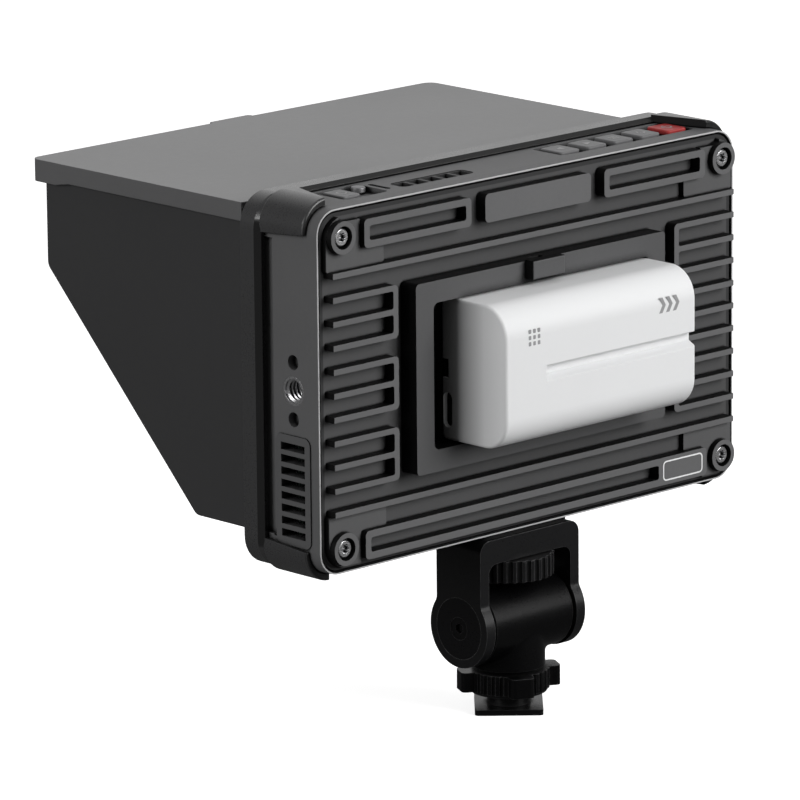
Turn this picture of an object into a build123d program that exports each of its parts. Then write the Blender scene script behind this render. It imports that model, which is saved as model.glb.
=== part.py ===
"""Camera field monitor on a tilting shoe bracket, with a folding sun hood and a slide-on battery.

Millimetres, +Z up. The origin is the middle of the underside of the shoe foot.
+X is the side with the side thread, +Y points to the back (battery side), the screen faces -Y.
"""

import os

from build123d import *

# Shoe foot and lock wheel
shoe_side = 18.4
shoe_thick = 1.6
shoe_corner = 1.2
shoe_turn = 43.6
boss_radius = 5.9
boss_height = 3.2
stud_radius = 3.0
stud_head_radius = 4.2
stud_head_thick = 1.5
stud_head_gap = 1.5
boss_chamfer = 0.4
wheel_radius = 11.1
wheel_height = 5.4
wheel_flutes = 30
wheel_flute_radius = 0.55
wing_count = 4
wing_reach = 13.9
wing_width = 6.6
wing_angle = 62.4
wing_corner = 1.4
wing_root = 2.0
washer_radius = 10.4
washer_thick = 0.8
clamp_gap = 3.4
lock_pitch = 1.0

# Tilt post, pivot and yoke
pivot_z = 25.3
barrel_radius = 10.4
barrel_edge = 0.5
neck_radius = 9.9
neck_gap = 0.9
neck_blend = 2.6
pivot_radius = 3.0
pivot_head_radius = 4.4
pivot_head_thick = 1.3
pivot_nose_drop = 0.2
pivot_socket_radius = 1.5
pivot_socket_depth = 1.2
cap_radius = 8.4
cap_thick = 1.4
cap_hole_radius = 3.15
ear_radius = 10.8
ear_blend = 3.0
ear_thick = 3.18
friction_thick = 0.5
friction_radius = 9.4
yoke_half = 18.5
yoke_depth = 16.8
yoke_arm = 3.1
yoke_top_z = 50.3
yoke_bar = 6.7
yoke_corner = 3.5
window_corner = 3.0
pad_length = 32.0
pad_width = 14.6
pad_corner = 2.5
pad_thick = 1.6

# Mounting screw with its thumb wheel
thumb_radius = 12.4
thumb_height = 6.0
thumb_flutes = 30
thumb_flute_radius = 0.8
screw_radius = 3.1
screw_engagement = 5.5
thumb_chamfer = 0.3

# Monitor body
body_half_width = 77.4
body_half_height = 48.6
body_corner = 6.6
rear_y = 12.3
rim_drop = 3.0
front_y = -15.3
body_wall = 3.2
edge_slope_depth = 3.45
edge_slope_inset = 0.15
rim_width = 0.9
ledge_inset = 3.2
ledge_thick = 1.6
opening_corner = 3.6
front_edge_round = 0.8
wall_overlap = 1.0
side_recess_y = -7.4
side_recess_depth = 1.5
side_recess_inset = 9.1
seam = 0.3
running = 0.06
slip = 0.05

# Rear cover
cover_thick = 2.5
fin_height = 3.4
fin_width = 1.55
fin_pitch = 6.32
fin_end_gap = 2.9
full_rib_step = 5
comb_gap = 4.0
comb_bar = 1.7
comb_corner = 1.4
comb_slot_corner = 0.7
corner_block_height = 1.6
corner_block_inner_inset = 22.6
corner_block_right_shift = 2.0
corner_block_outer_inset = 2.2
corner_block_low_inset = 16.2
corner_block_high_inset = 2.0
corner_block_round = 6.0
corner_block_edge = 0.6
pocket_outer_inset = 14.2
pocket_inner = 24.7
pocket_low_inset = 11.3
pocket_high_inset = 3.6
pocket_wall = 1.9
pocket_corner = 1.3
nameplate_half = 19.6
long_pocket_left_inset = 13.6
long_pocket_right_inset = 13.4
long_pocket_high_inset = 10.8
long_pocket_low_inset = 3.1
badge_length = 18.6
cover_screw_side_inset = 6.8
cover_screw_end_inset = 7.3
cover_boss_radius = 4.35
cover_well_radius = 3.05
cover_well_depth = 2.6
screw_head_radius = 2.55
screw_head_thick = 1.9
screw_shank_radius = 1.4
screw_shank_length = 6.0
torx_radius = 1.35
torx_lobes = 6
torx_depth = 1.1
torx_lobe_ring = 1.12
torx_lobe_share = 0.34
screw_head_chamfer = 0.45
column_floor = 1.0
standoff_radius = 3.0
standoff_side_inset = 19.4
standoff_end_inset = 14.6

# Battery plate, latch and battery
plate_left = 47.4
plate_right = -45.2
plate_half_height = 25.6
plate_height = 5.85
plate_corner = 1.2
recess_left = 41.1
recess_right = -39.2
recess_half_height = 19.7
recess_depth = 7.05
recess_corner = 1.8
latch_left = 7.5
latch_right = -4.3
latch_low = 20.9
latch_high = 26.0
latch_height = 3.1
latch_travel = 2.0
latch_slot_half = 2.0
latch_floor_rise = 2.9
latch_stem_low = 0.6
latch_stem_high = 1.2
small_round = 0.4
battery_length = 70.8
battery_half_height = 19.2
battery_thick = 24.3
battery_round = 8.4
battery_base_round = 1.4
battery_wall = 3.0
battery_right_wall = 6.4
battery_left_wall = 3.4
battery_end_round = 0.8
battery_travel = 8.6
groove_length = 56.0
groove_depth = 2.6
groove_high = 2.1
groove_low = -2.8
groove_floor_low = -0.9
groove_lean = 0.5
groove_wall = 3.0
groove_room_half = 4.0
hook_length = 5.0
hook_reach = 0.9
hook_thick = 1.1
hook_lift = 0.9
hook_positions = (-24.0, 12.0)
hook_root = 0.5
contact_count = 3
contact_pitch = 6.0
contact_length = 4.0
contact_height = 2.2
contact_thick = 0.9
contact_setback = 0.5
end_notch_width = 5.2
end_notch_height = 2.65
end_notch_depth = 1.4
end_slot_width = 3.2
end_slot_length = 9.4
end_slot_z = -11.1
end_slot_lift = 0.65

# Screen stack and boards
glass_thick = 1.5
gasket_thick = 0.5
gasket_width = 4.0
panel_thick = 4.0
spreader_thick = 1.2
board_thick = 1.6
board_y = -1.9
board_inset = 1.2
chip_side = 16.0
chip_height = 1.6
chip_places = ((8.0, 6.0), (-22.0, 14.0), (30.0, -16.0))
thermal_pad_side = 14.0
board_trim = 2.0
board_corner = 3.0
board_notch_half = 6.5
panel_inset = 1.0
panel_corner = 3.0
spreader_corner = 2.0
key_board_thick = 1.2
key_board_over = 3.5
key_post_inset = 1.2
key_post_radius = 0.9

# Keys on the top face
key_width = 7.3
key_length = 8.3
key_corner = 0.9
key_pitch = 10.2
key_count = 4
power_key_inset = 13.6
key_row_y = -2.7
key_proud = 0.3
key_thick = 1.35
key_travel = 0.4
key_lift = 0.55
key_stem_radius = 1.0
key_stem_gap = 0.1
key_stem_below = 0.4
key_round = 0.4
well_margin = 2.1
well_end = 1.4
well_jog_end = 0.8
well_corner = 1.9
function_key_inset = 20.3
function_key_width = 6.3
jog_inset = 29.0
jog_y = -5.6
jog_radius = 1.9
lanyard_inset = 32.2
lanyard_width = 1.6
lanyard_length = 8.0
lanyard_depth = 0.7

# Vents
vent_high_inset = 35.2
vent_low_inset = 8.7
vent_front = -5.2
vent_back = 4.8
vent_rim = 1.5
vent_proud = 0.35
vent_corner = 2.0
vent_slots = 8
vent_bar = 1.3
vent_groove_width = 1.6
vent_groove_depth = 0.6
vent_groove_round = 0.75
vent_slot_inset = 0.5
top_vent_left = 40.0
top_vent_right = 13.5
top_vent_front = -3.4
top_vent_back = 2.6
top_vent_ribs = 4
top_vent_rib = 1.1
top_vent_rim = 0.7
top_vent_corner = 1.8
top_vent_drop = 0.2

# Threads and locating holes
thread_radius = 3.175
insert_radius = 3.9
insert_depth = 7.0
insert_floor = 0.6
insert_boss_wall = 2.0
insert_boss_floor = 1.5
locator_radius = 2.0
locator_depth = 2.4
locator_spacing = 15.2

# Ports on the side away from the thread
port_share = {"dc_jack": 0.576, "hdmi_in_port": 0.237, "hdmi_out_port": -0.154, "usb_port": -0.463,
              "audio_port": -0.679}
hdmi_width = 15.0
hdmi_height = 5.6
usb_width = 9.6
usb_height = 3.9
jack_width = 8.4
jack_height = 7.6
audio_width = 6.2
audio_height = 5.6
port_length = 10.5
port_shell = 0.5
port_sink = 0.5
port_back = 1.5
port_corner = 0.8
jack_bores = {"dc_jack": 2.8, "audio_port": 1.8}
dc_pin_radius = 1.0
dc_pin_setback = 1.0
tongue_setback = 1.5
tongue_side = 1.6
tongue_half_thick = 0.4

# Hood
ring_rear_y = -12.3
ring_front_y = -18.2
ring_wall = 1.7
ring_end_wall = 0.95
ring_lip = 2.3
ring_side_lip = 6.0
ring_end_lip = 6.2
ring_bevel = 0.8
ring_slope_depth = 2.2
ring_slope_inset = 0.65
claw_wall = 1.1
claw_end_wall = 2.0
claw_back_y = 5.6
claw_side_near_inset = 7.8
claw_side_far_inset = 6.4
claw_top_near_inset = 11.4
claw_top_far_inset = 6.4
claw_overlap = 0.6
claw_round = 0.7
ring_opening_corner = 5.0
hinge_radius = 1.5
hinge_pin_radius = 0.7
hinge_gap = 0.7
knuckle_gap = 0.2
pin_end_inset = 1.0
panel_sheet = 1.5
side_hinge_offset = 2.0
hood_front_y = -105.9
top_side_setback = 2.9
top_drop = 2.4
top_corner = 3.0
skirt_depth = 5.0
skirt_wall = 1.2
skirt_step = 1.0
skirt_step_length = 10.0
skirt_ramp_length = 5.5
tab_length = 15.0
tab_reach = 1.6
tab_x = 1.0
tab_corner = 1.0
side_front_y = -101.2
side_bottom_inset = 7.1
side_diagonal_top = 17.4
side_diagonal_foot = 58.0
side_corner = 3.0
side_gap = 0.3
side_knuckle_half = 26.0
end_knuckle = 8.0
top_knuckle_inset = 31.4
top_knuckle_half = 9.0

# Places set from the body's sides and ends
side_recess_half = body_half_height - side_recess_inset
fin_reach = body_half_width - fin_end_gap
comb_inner = plate_left + comb_gap
corner_block_inner = body_half_width - corner_block_inner_inset
corner_block_outer = body_half_width - corner_block_outer_inset
corner_block_low = body_half_height - corner_block_low_inset
corner_block_high = body_half_height - corner_block_high_inset
pocket_outer = body_half_width - pocket_outer_inset
pocket_low = body_half_height - pocket_low_inset
pocket_high = body_half_height - pocket_high_inset
long_pocket_left = body_half_width - long_pocket_left_inset
long_pocket_right = -body_half_width + long_pocket_right_inset
long_pocket_high = -body_half_height + long_pocket_high_inset
long_pocket_low = -body_half_height + long_pocket_low_inset
badge_start = long_pocket_right + badge_length
cover_screw_x = body_half_width - cover_screw_side_inset
cover_screw_z = body_half_height - cover_screw_end_inset
standoff_x = body_half_width - standoff_side_inset
standoff_z = body_half_height - standoff_end_inset
power_key_x = -body_half_width + power_key_inset
first_key_x = power_key_x + key_count * key_pitch
function_key_x = body_half_width - function_key_inset
jog_x = body_half_width - jog_inset
lanyard_x = body_half_width - lanyard_inset
vent_high = -body_half_height + vent_high_inset
vent_low = -body_half_height + vent_low_inset
ring_opening_half_width = body_half_width - ring_side_lip
ring_opening_half_height = body_half_height - ring_end_lip
claw_side_near = body_half_height - claw_side_near_inset
claw_side_far = body_half_height - claw_side_far_inset
claw_top_near = body_half_width - claw_top_near_inset
claw_top_far = body_half_width - claw_top_far_inset
top_half_width = body_half_width - top_side_setback
top_surface = body_half_height - top_drop
side_bottom = -body_half_height + side_bottom_inset
top_knuckle_x = body_half_width - top_knuckle_inset

# Derived places
barrel_half = yoke_half - ear_thick - friction_thick - 2 * running
body_z = yoke_top_z + pad_thick + body_half_height
rim_y = rear_y - rim_drop
cover_y = rear_y - fin_height
cover_inner_y = cover_y - cover_thick
inner_half_width = body_half_width - body_wall
inner_half_height = body_half_height - body_wall
body_top = body_z + body_half_height
body_bottom = body_z - body_half_height
cover_half_width = body_half_width - rim_width - seam
cover_half_height = body_half_height - rim_width - seam
wheel_bottom = shoe_thick + clamp_gap + washer_thick
wheel_top = wheel_bottom + wheel_height
washer_bottom = shoe_thick + clamp_gap
neck_bottom = wheel_top + neck_gap
ear_inner = barrel_half + 2 * running + friction_thick
stud_top = pivot_z - pivot_radius - stud_head_gap
window_top = yoke_top_z - yoke_bar
thumb_top = window_top - seam
plate_top_y = cover_y + plate_height
recess_floor_y = plate_top_y - recess_depth
latch_floor_y = cover_y + latch_floor_rise
battery_base_y = recess_floor_y + seam
battery_top_y = battery_base_y + battery_thick
battery_right = recess_right + seam
battery_left = battery_right + battery_length
shank_end = rear_y - cover_well_depth - screw_shank_length
ledge_front_y = front_y + glass_thick + seam
panel_front_y = ledge_front_y + ledge_thick + gasket_thick
board_front_y = board_y - board_thick
hinge_y = ring_front_y - hinge_gap - hinge_radius
ring_end_y = ring_rear_y + ring_slope_depth
claw_start_y = ring_end_y - claw_overlap
well_floor = body_half_height + key_proud - key_thick - key_lift
side_top = top_surface - 2 * hinge_radius - 2 * side_gap


def block(x0, x1, y0, y1, z0, z1):
    """A plain block between two corners."""
    centre = ((x0 + x1) / 2, (y0 + y1) / 2, (z0 + z1) / 2)
    return Pos(*centre) * Box(abs(x1 - x0), abs(y1 - y0), abs(z1 - z0))


def back_plane(y):
    """A sketch plane seen from behind the monitor: local x is -X, local y is up from the middle."""
    return Plane((0, y, body_z), x_dir=(-1, 0, 0), z_dir=(0, 1, 0))


def area(x0, x1, z0, z1, radius):
    """A rounded rectangle on back_plane, given by its X and its height from the monitor's middle."""
    width = abs(x1 - x0)
    height = abs(z1 - z0)
    return Pos(-(x0 + x1) / 2, (z0 + z1) / 2) * RectangleRounded(width, height, radius)


def raise_from(y, shape, height):
    """Extrude a back_plane sketch towards the back by a height."""
    return extrude(back_plane(y) * shape, amount=height)


def slab(half_width, half_height, radius, y0, y1):
    """A rounded slab centred on the monitor, between two depths."""
    return raise_from(y0, RectangleRounded(2 * half_width, 2 * half_height, radius), y1 - y0)


def round_rod(axis, centre, radius, length):
    """A cylinder along x, y or z from its near end's centre."""
    directions = {"x": (1, 0, 0), "y": (0, 1, 0), "z": (0, 0, 1)}
    plane = Plane(centre, z_dir=directions[axis])
    return extrude(plane * Circle(radius), amount=length)


def fluted_disc(radius, flutes, flute_radius, bottom, height):
    """A grip disc with round flutes round its rim, as one extruded outline."""
    outline = Circle(radius) - PolarLocations(radius, flutes) * Circle(flute_radius)
    return Pos(0, 0, bottom) * extrude(outline, amount=height)


def make_shoe_foot():
    """Foot plate turned to the hot shoe, with its boss and the stud that carries the post."""
    plate = extrude(RectangleRounded(shoe_side, shoe_side, shoe_corner), amount=shoe_thick)
    plate = Rot(0, 0, -shoe_turn) * plate
    boss_top = shoe_thick + boss_height
    boss = round_rod("z", (0, 0, shoe_thick), boss_radius, boss_height)
    boss = chamfer(boss.edges().group_by(Axis.Z)[-1], boss_chamfer)
    stud = round_rod("z", (0, 0, boss_top), stud_radius, stud_top - boss_top)
    head = round_rod("z", (0, 0, stud_top - stud_head_thick), stud_head_radius, stud_head_thick)
    return plate + boss + stud + head


def make_lock_washer():
    """Pressure washer under the lock wheel."""
    ring = Circle(washer_radius) - Circle(boss_radius + seam)
    return Pos(0, 0, washer_bottom) * extrude(ring, amount=washer_thick)


def make_lock_wheel():
    """Fluted lock wheel with four wings and a counterbore that drops over the foot's boss."""
    outline = Circle(wheel_radius)
    outline -= PolarLocations(wheel_radius, wheel_flutes) * Circle(wheel_flute_radius)
    reach = wing_reach - wheel_radius + wing_root
    wing = Pos(wing_reach - reach / 2, 0) * RectangleRounded(reach, wing_width, wing_corner)
    outline += PolarLocations(0, wing_count, start_angle=wing_angle) * wing
    outline -= Circle(stud_radius + running)
    wheel = Pos(0, 0, wheel_bottom) * extrude(outline, amount=wheel_height)
    counterbore_top = shoe_thick + boss_height + 2 * lock_pitch + seam
    counterbore = round_rod("z", (0, 0, wheel_bottom), boss_radius + seam, counterbore_top - wheel_bottom)
    return wheel - counterbore


def make_tilt_post():
    """Barrel that the yoke turns on, blended into the neck that swivels on the stud."""
    barrel = round_rod("x", (-barrel_half, 0, pivot_z), barrel_radius, 2 * barrel_half)
    barrel = chamfer(barrel.edges().filter_by(GeomType.CIRCLE), barrel_edge)
    post = barrel + round_rod("z", (0, 0, neck_bottom), neck_radius, pivot_z - neck_bottom)
    joins = [e for e in post.edges() if e.geom_type not in (GeomType.CIRCLE, GeomType.LINE)]
    post = fillet(joins, neck_blend)
    bore_radius = stud_radius + running
    post -= round_rod("z", (0, 0, neck_bottom), bore_radius, stud_top - neck_bottom)
    pocket_bottom = stud_top - stud_head_thick - seam
    pocket = round_rod("z", (0, 0, pocket_bottom), stud_head_radius + seam, stud_head_thick + 2 * seam)
    post -= pocket
    post -= round_rod("x", (-barrel_half, 0, pivot_z), pivot_radius + running, 2 * barrel_half)
    return post


def make_friction_washer(side):
    """Friction washer between an ear and the barrel, on side +1 or -1."""
    ring = Circle(friction_radius) - Circle(pivot_radius + running)
    near = side * ear_inner
    plane = Plane((near, 0, pivot_z), z_dir=(-side, 0, 0))
    return extrude(plane * ring, amount=friction_thick)


def make_tilt_yoke():
    """Yoke: a bar under the monitor with two arms that end in round ears on the pivot."""
    arch = RectangleRounded(2 * yoke_half, 2 * (yoke_top_z - pivot_z), yoke_corner)
    window = RectangleRounded(2 * (yoke_half - yoke_arm), 2 * (window_top - pivot_z), window_corner)
    front = Plane((0, -yoke_depth / 2, pivot_z), x_dir=(-1, 0, 0), z_dir=(0, 1, 0))
    frame = extrude(front * (arch - window), amount=yoke_depth)
    frame -= block(-yoke_half, yoke_half, -yoke_depth, yoke_depth, pivot_z - yoke_top_z, pivot_z)
    arm_height = window_top - pivot_z
    profile = Pos(0, arm_height / 2) * Rectangle(yoke_depth, arm_height) + Circle(ear_radius)
    corners = [v for v in profile.vertices() if 1 < v.Y < arm_height - 1]
    profile = fillet(corners, ear_blend)
    for side in (-1, 1):
        ear_plane = Plane((side * ear_inner, 0, pivot_z), x_dir=(0, side, 0), z_dir=(side, 0, 0))
        frame += extrude(ear_plane * profile, amount=yoke_half - ear_inner)
    frame -= round_rod("z", (0, 0, window_top - 1), screw_radius + seam, yoke_bar + 2)
    frame -= round_rod("x", (-yoke_half, 0, pivot_z), pivot_radius, 2 * yoke_half)
    for side in (-1, 1):
        cap_seat = Plane((side * yoke_half, 0, pivot_z), z_dir=(-side, 0, 0))
        frame -= extrude(cap_seat * Circle(cap_radius + running), amount=cap_thick)
        head_depth = cap_thick + pivot_head_thick
        frame -= extrude(cap_seat * Circle(pivot_head_radius + running), amount=head_depth)
    return frame


def pivot_head(side):
    """Flange under the cap and the nose through its hole, with a hex socket, on side +1 or -1."""
    seat_x = yoke_half - cap_thick
    flange_plane = Plane((side * (seat_x - pivot_head_thick), 0, pivot_z), z_dir=(side, 0, 0))
    nose_length = pivot_head_thick + cap_thick - pivot_nose_drop
    head = extrude(flange_plane * Circle(pivot_head_radius), amount=pivot_head_thick)
    head += extrude(flange_plane * Circle(cap_hole_radius - running), amount=nose_length)
    socket = Plane((side * (yoke_half - pivot_nose_drop), 0, pivot_z), z_dir=(-side, 0, 0))
    return head - extrude(socket * RegularPolygon(pivot_socket_radius, 6), amount=pivot_socket_depth)


def make_pivot_bolt():
    """Pivot bolt across the barrel, its head under the left cap."""
    length = 2 * (yoke_half - cap_thick - pivot_head_thick)
    return pivot_head(1) + round_rod("x", (-length / 2, 0, pivot_z), pivot_radius, length)


def make_pivot_nut():
    """Nut at the bolt's far end, under the right cap."""
    return pivot_head(-1)


def make_pivot_cap(side):
    """Round cap set into an ear, with a hole for the bolt's head."""
    ring = Circle(cap_radius) - Circle(cap_hole_radius)
    seat = Plane((side * (yoke_half - cap_thick), 0, pivot_z), z_dir=(side, 0, 0))
    return extrude(seat * ring, amount=cap_thick)


def make_yoke_pad():
    """Rubber pad between the yoke and the monitor's underside."""
    outline = RectangleRounded(pad_length, pad_width, pad_corner) - Circle(screw_radius + seam)
    return Pos(0, 0, yoke_top_z) * extrude(outline, amount=body_bottom - yoke_top_z)


def make_mounting_screw():
    """Thumb wheel in the yoke's window, with the screw that holds the monitor."""
    bottom = thumb_top - thumb_height
    wheel = fluted_disc(thumb_radius, thumb_flutes, thumb_flute_radius, bottom, thumb_height)
    wheel = chamfer(wheel.edges().group_by(Axis.Z)[0], thumb_chamfer)
    screw = round_rod("z", (0, 0, thumb_top), screw_radius, body_bottom + screw_engagement - thumb_top)
    return wheel + screw


def key_well_area(x0, x1):
    """Outline on the top face of a well that holds keys between two X."""
    length = key_length + 2 * well_margin
    return Pos((x0 + x1) / 2, key_row_y) * RectangleRounded(abs(x1 - x0), length, well_corner)


def key_centres():
    """X of each plain key and of the power key at the end of the row."""
    return [first_key_x - key_pitch * step for step in range(key_count + 1)]


def make_mid_frame():
    """Hollow body frame: side walls, screen ledge, key wells, vents, thread seats and port holes."""
    frame = slab(body_half_width, body_half_height, body_corner, front_y, rim_y)
    rear_face = frame.faces().sort_by(Axis.Y)[-1]
    frame = chamfer(rear_face.edges(), edge_slope_inset, edge_slope_depth, reference=rear_face)
    frame = fillet(frame.edges().group_by(Axis.Y)[0], front_edge_round)
    frame -= slab(body_half_width - rim_width, body_half_height - rim_width, body_corner - rim_width,
                  cover_inner_y, rim_y)
    inner_corner = body_corner - body_wall
    ledge_rear_y = ledge_front_y + ledge_thick
    frame -= slab(inner_half_width, inner_half_height, inner_corner, ledge_rear_y, cover_inner_y)
    frame -= slab(inner_half_width - ledge_inset, inner_half_height - ledge_inset, opening_corner,
                  ledge_front_y, ledge_front_y + ledge_thick)
    frame -= slab(inner_half_width, inner_half_height, inner_corner, front_y, ledge_front_y)
    for side in (-1, 1):
        near = side * (body_half_width - side_recess_depth)
        far = side * (body_half_width + 1)
        frame -= block(near, far, front_y - 1, side_recess_y, body_z - side_recess_half,
                       body_z + side_recess_half)
    frame = add_screw_columns(frame)
    frame = cut_key_wells(frame)
    frame = cut_vent_seats(frame)
    frame = cut_thread_seats(frame)
    return cut_port_holes(frame)


def add_screw_columns(frame):
    """Columns in the corners that take the cover screws."""
    column_start = shank_end - column_floor
    room = slab(body_half_width - wall_overlap, body_half_height - wall_overlap, body_corner - wall_overlap,
                front_y, rim_y)
    for x in (-cover_screw_x, cover_screw_x):
        for z in (-cover_screw_z, cover_screw_z):
            place = (x, column_start, body_z + z)
            frame += round_rod("y", place, cover_boss_radius, cover_inner_y - column_start) & room
            hole = (x, shank_end - seam, body_z + z)
            frame -= round_rod("y", hole, screw_shank_radius + running, rear_y - shank_end + seam)
    return frame


def cut_key_wells(frame):
    """Key wells, stem holes and the small groove on the top face."""
    floor = body_z + well_floor
    row_end = key_centres()[-1] - key_width / 2 - well_end
    row_start = key_centres()[0] + key_width / 2 + well_end
    function_end = function_key_x + function_key_width / 2 + well_end
    function_start = jog_x - jog_radius - well_jog_end
    for x0, x1 in ((row_end, row_start), (function_start, function_end)):
        frame -= Pos(0, 0, floor) * extrude(key_well_area(x0, x1), amount=body_half_height)
    stems = [(x, key_row_y) for x in key_centres()] + [(function_key_x, key_row_y), (jog_x, jog_y)]
    for x, y in stems:
        frame -= round_rod("z", (x, y, body_z + inner_half_height - 1), key_stem_radius + running, body_wall)
    groove = SlotOverall(lanyard_length, lanyard_width, rotation=90)
    groove = Pos(lanyard_x - lanyard_width, key_row_y, body_top - lanyard_depth) * groove
    frame -= extrude(groove, amount=1)
    return frame


def cut_vent_seats(frame):
    """Openings in the side and top walls that the grilles fill, and the groove beside the side one."""
    opening = block(inner_half_width - 1, body_half_width + 1, vent_front, vent_back,
                    body_z + vent_low, body_z + vent_high)
    frame -= fillet(opening.edges().filter_by(Axis.X), vent_corner - vent_rim / 2)
    groove_back = vent_front - vent_rim
    groove = block(body_half_width - vent_groove_depth, body_half_width + 1, groove_back - vent_groove_width,
                   groove_back, body_z + vent_low, body_z + vent_high)
    frame -= fillet(groove.edges().filter_by(Axis.X), vent_groove_round)
    top = block(top_vent_right, top_vent_left, top_vent_front, top_vent_back,
                body_z + inner_half_height - 1, body_top + 1)
    return frame - fillet(top.edges().filter_by(Axis.Z), top_vent_corner)


def cut_thread_seats(frame):
    """Seats for the side and bottom thread inserts, with the locating holes beside the side one."""
    boss_radius_inside = insert_radius + insert_boss_wall
    boss_length = insert_depth + insert_boss_floor - body_wall + wall_overlap
    start = body_half_width - insert_depth - insert_boss_floor
    frame += round_rod("x", (start, 0, body_z), boss_radius_inside, boss_length)
    frame += round_rod("z", (0, 0, body_bottom + body_wall - wall_overlap), boss_radius_inside, boss_length)
    frame -= round_rod("x", (body_half_width - insert_depth, 0, body_z), insert_radius, insert_depth + 1)
    frame -= round_rod("z", (0, 0, body_bottom - 1), insert_radius, insert_depth + 1)
    for step in (-0.5, 0.5):
        centre = (body_half_width - locator_depth, 0, body_z + step * locator_spacing)
        frame -= round_rod("x", centre, locator_radius, locator_depth + 1)
    return frame


def port_size(name):
    """Width along Z and height along Y of a port's shell."""
    sizes = {"dc_jack": (jack_width, jack_height), "usb_port": (usb_width, usb_height),
             "audio_port": (audio_width, audio_height)}
    return sizes.get(name, (hdmi_width, hdmi_height))


def port_block(name, grow, x0, x1):
    """Outer block of a port between two X, grown all round for its hole in the wall."""
    width, height = port_size(name)
    middle = body_z + port_share[name] * body_half_height
    half = width / 2 + grow
    body = block(x0, x1, board_y - grow, board_y + height + grow, middle - half, middle + half)
    return fillet(body.edges().filter_by(Axis.X), port_corner + grow)


def cut_port_holes(frame):
    """Holes in the far side wall for the ports."""
    for name in port_share:
        frame -= port_block(name, 0.5 * seam, -body_half_width - 1, -inner_half_width + 1)
    return frame


def make_port(name):
    """Metal port shell on the main board, open towards the side wall, with its tongue or pin."""
    width, height = port_size(name)
    outer_x = -body_half_width + port_sink
    inner_x = outer_x + port_length
    shell = port_block(name, 0, outer_x, inner_x)
    middle_y = board_y + height / 2
    middle_z = body_z + port_share[name] * body_half_height
    if name in jack_bores:
        shell -= round_rod("x", (outer_x, middle_y, middle_z), jack_bores[name], port_length - port_back)
        if name == "dc_jack":
            pin_start = outer_x + dc_pin_setback
            shell += round_rod("x", (pin_start, middle_y, middle_z), dc_pin_radius, port_length - port_back)
        return shell
    hollow_y = height / 2 - port_shell
    hollow_z = width / 2 - port_shell
    shell -= block(outer_x, inner_x - port_back, middle_y - hollow_y, middle_y + hollow_y,
                   middle_z - hollow_z, middle_z + hollow_z)
    tongue_half = width / 2 - tongue_side
    return shell + block(outer_x + tongue_setback, inner_x - port_back / 2, middle_y - tongue_half_thick,
                         middle_y + tongue_half_thick, middle_z - tongue_half, middle_z + tongue_half)


def comb_sketch(side, middle_step):
    """One comb of three fins joined by a bar at its inner end, open towards the side."""
    high = (middle_step + 1) * fin_pitch + fin_width / 2
    low = (middle_step - 1) * fin_pitch - fin_width / 2
    beyond = fin_reach + comb_corner * 3
    comb = area(side * comb_inner, side * beyond, low, high, comb_corner)
    for step in (middle_step - 0.5, middle_step + 0.5):
        slot_half = (fin_pitch - fin_width) / 2
        middle = step * fin_pitch
        slot_start = comb_inner + comb_bar
        comb -= area(side * slot_start, side * (beyond + 5), middle - slot_half, middle + slot_half,
                     comb_slot_corner)
    limit = area(side * comb_inner, side * fin_reach, low, high, 0.01)
    return comb & limit


def relief_sketch():
    """Everything that stands to the full fin height on the rear cover."""
    relief = Sketch()
    for step in (-full_rib_step, full_rib_step):
        middle = step * fin_pitch
        relief += area(-fin_reach, fin_reach, middle - fin_width / 2, middle + fin_width / 2, 0.2)
    for side in (-1, 1):
        for middle_step in (-3, 0, 3):
            relief += comb_sketch(side, middle_step)
        pocket = area(side * pocket_inner, side * pocket_outer, pocket_low, pocket_high, pocket_corner)
        pocket -= area(side * (pocket_inner + pocket_wall), side * (pocket_outer - pocket_wall),
                       pocket_low + pocket_wall, pocket_high - pocket_wall, comb_slot_corner)
        relief += pocket
    relief += area(-nameplate_half, nameplate_half, pocket_low, pocket_high, pocket_corner)
    long_pocket = area(long_pocket_right, long_pocket_left, long_pocket_low, long_pocket_high, pocket_corner)
    long_pocket -= area(badge_start, long_pocket_left - pocket_wall, long_pocket_low + pocket_wall,
                        long_pocket_high - pocket_wall, comb_slot_corner)
    relief += long_pocket
    for x in (-cover_screw_x, cover_screw_x):
        for z in (-cover_screw_z, cover_screw_z):
            relief += Pos(x, z) * Circle(cover_boss_radius)
    return relief


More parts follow.
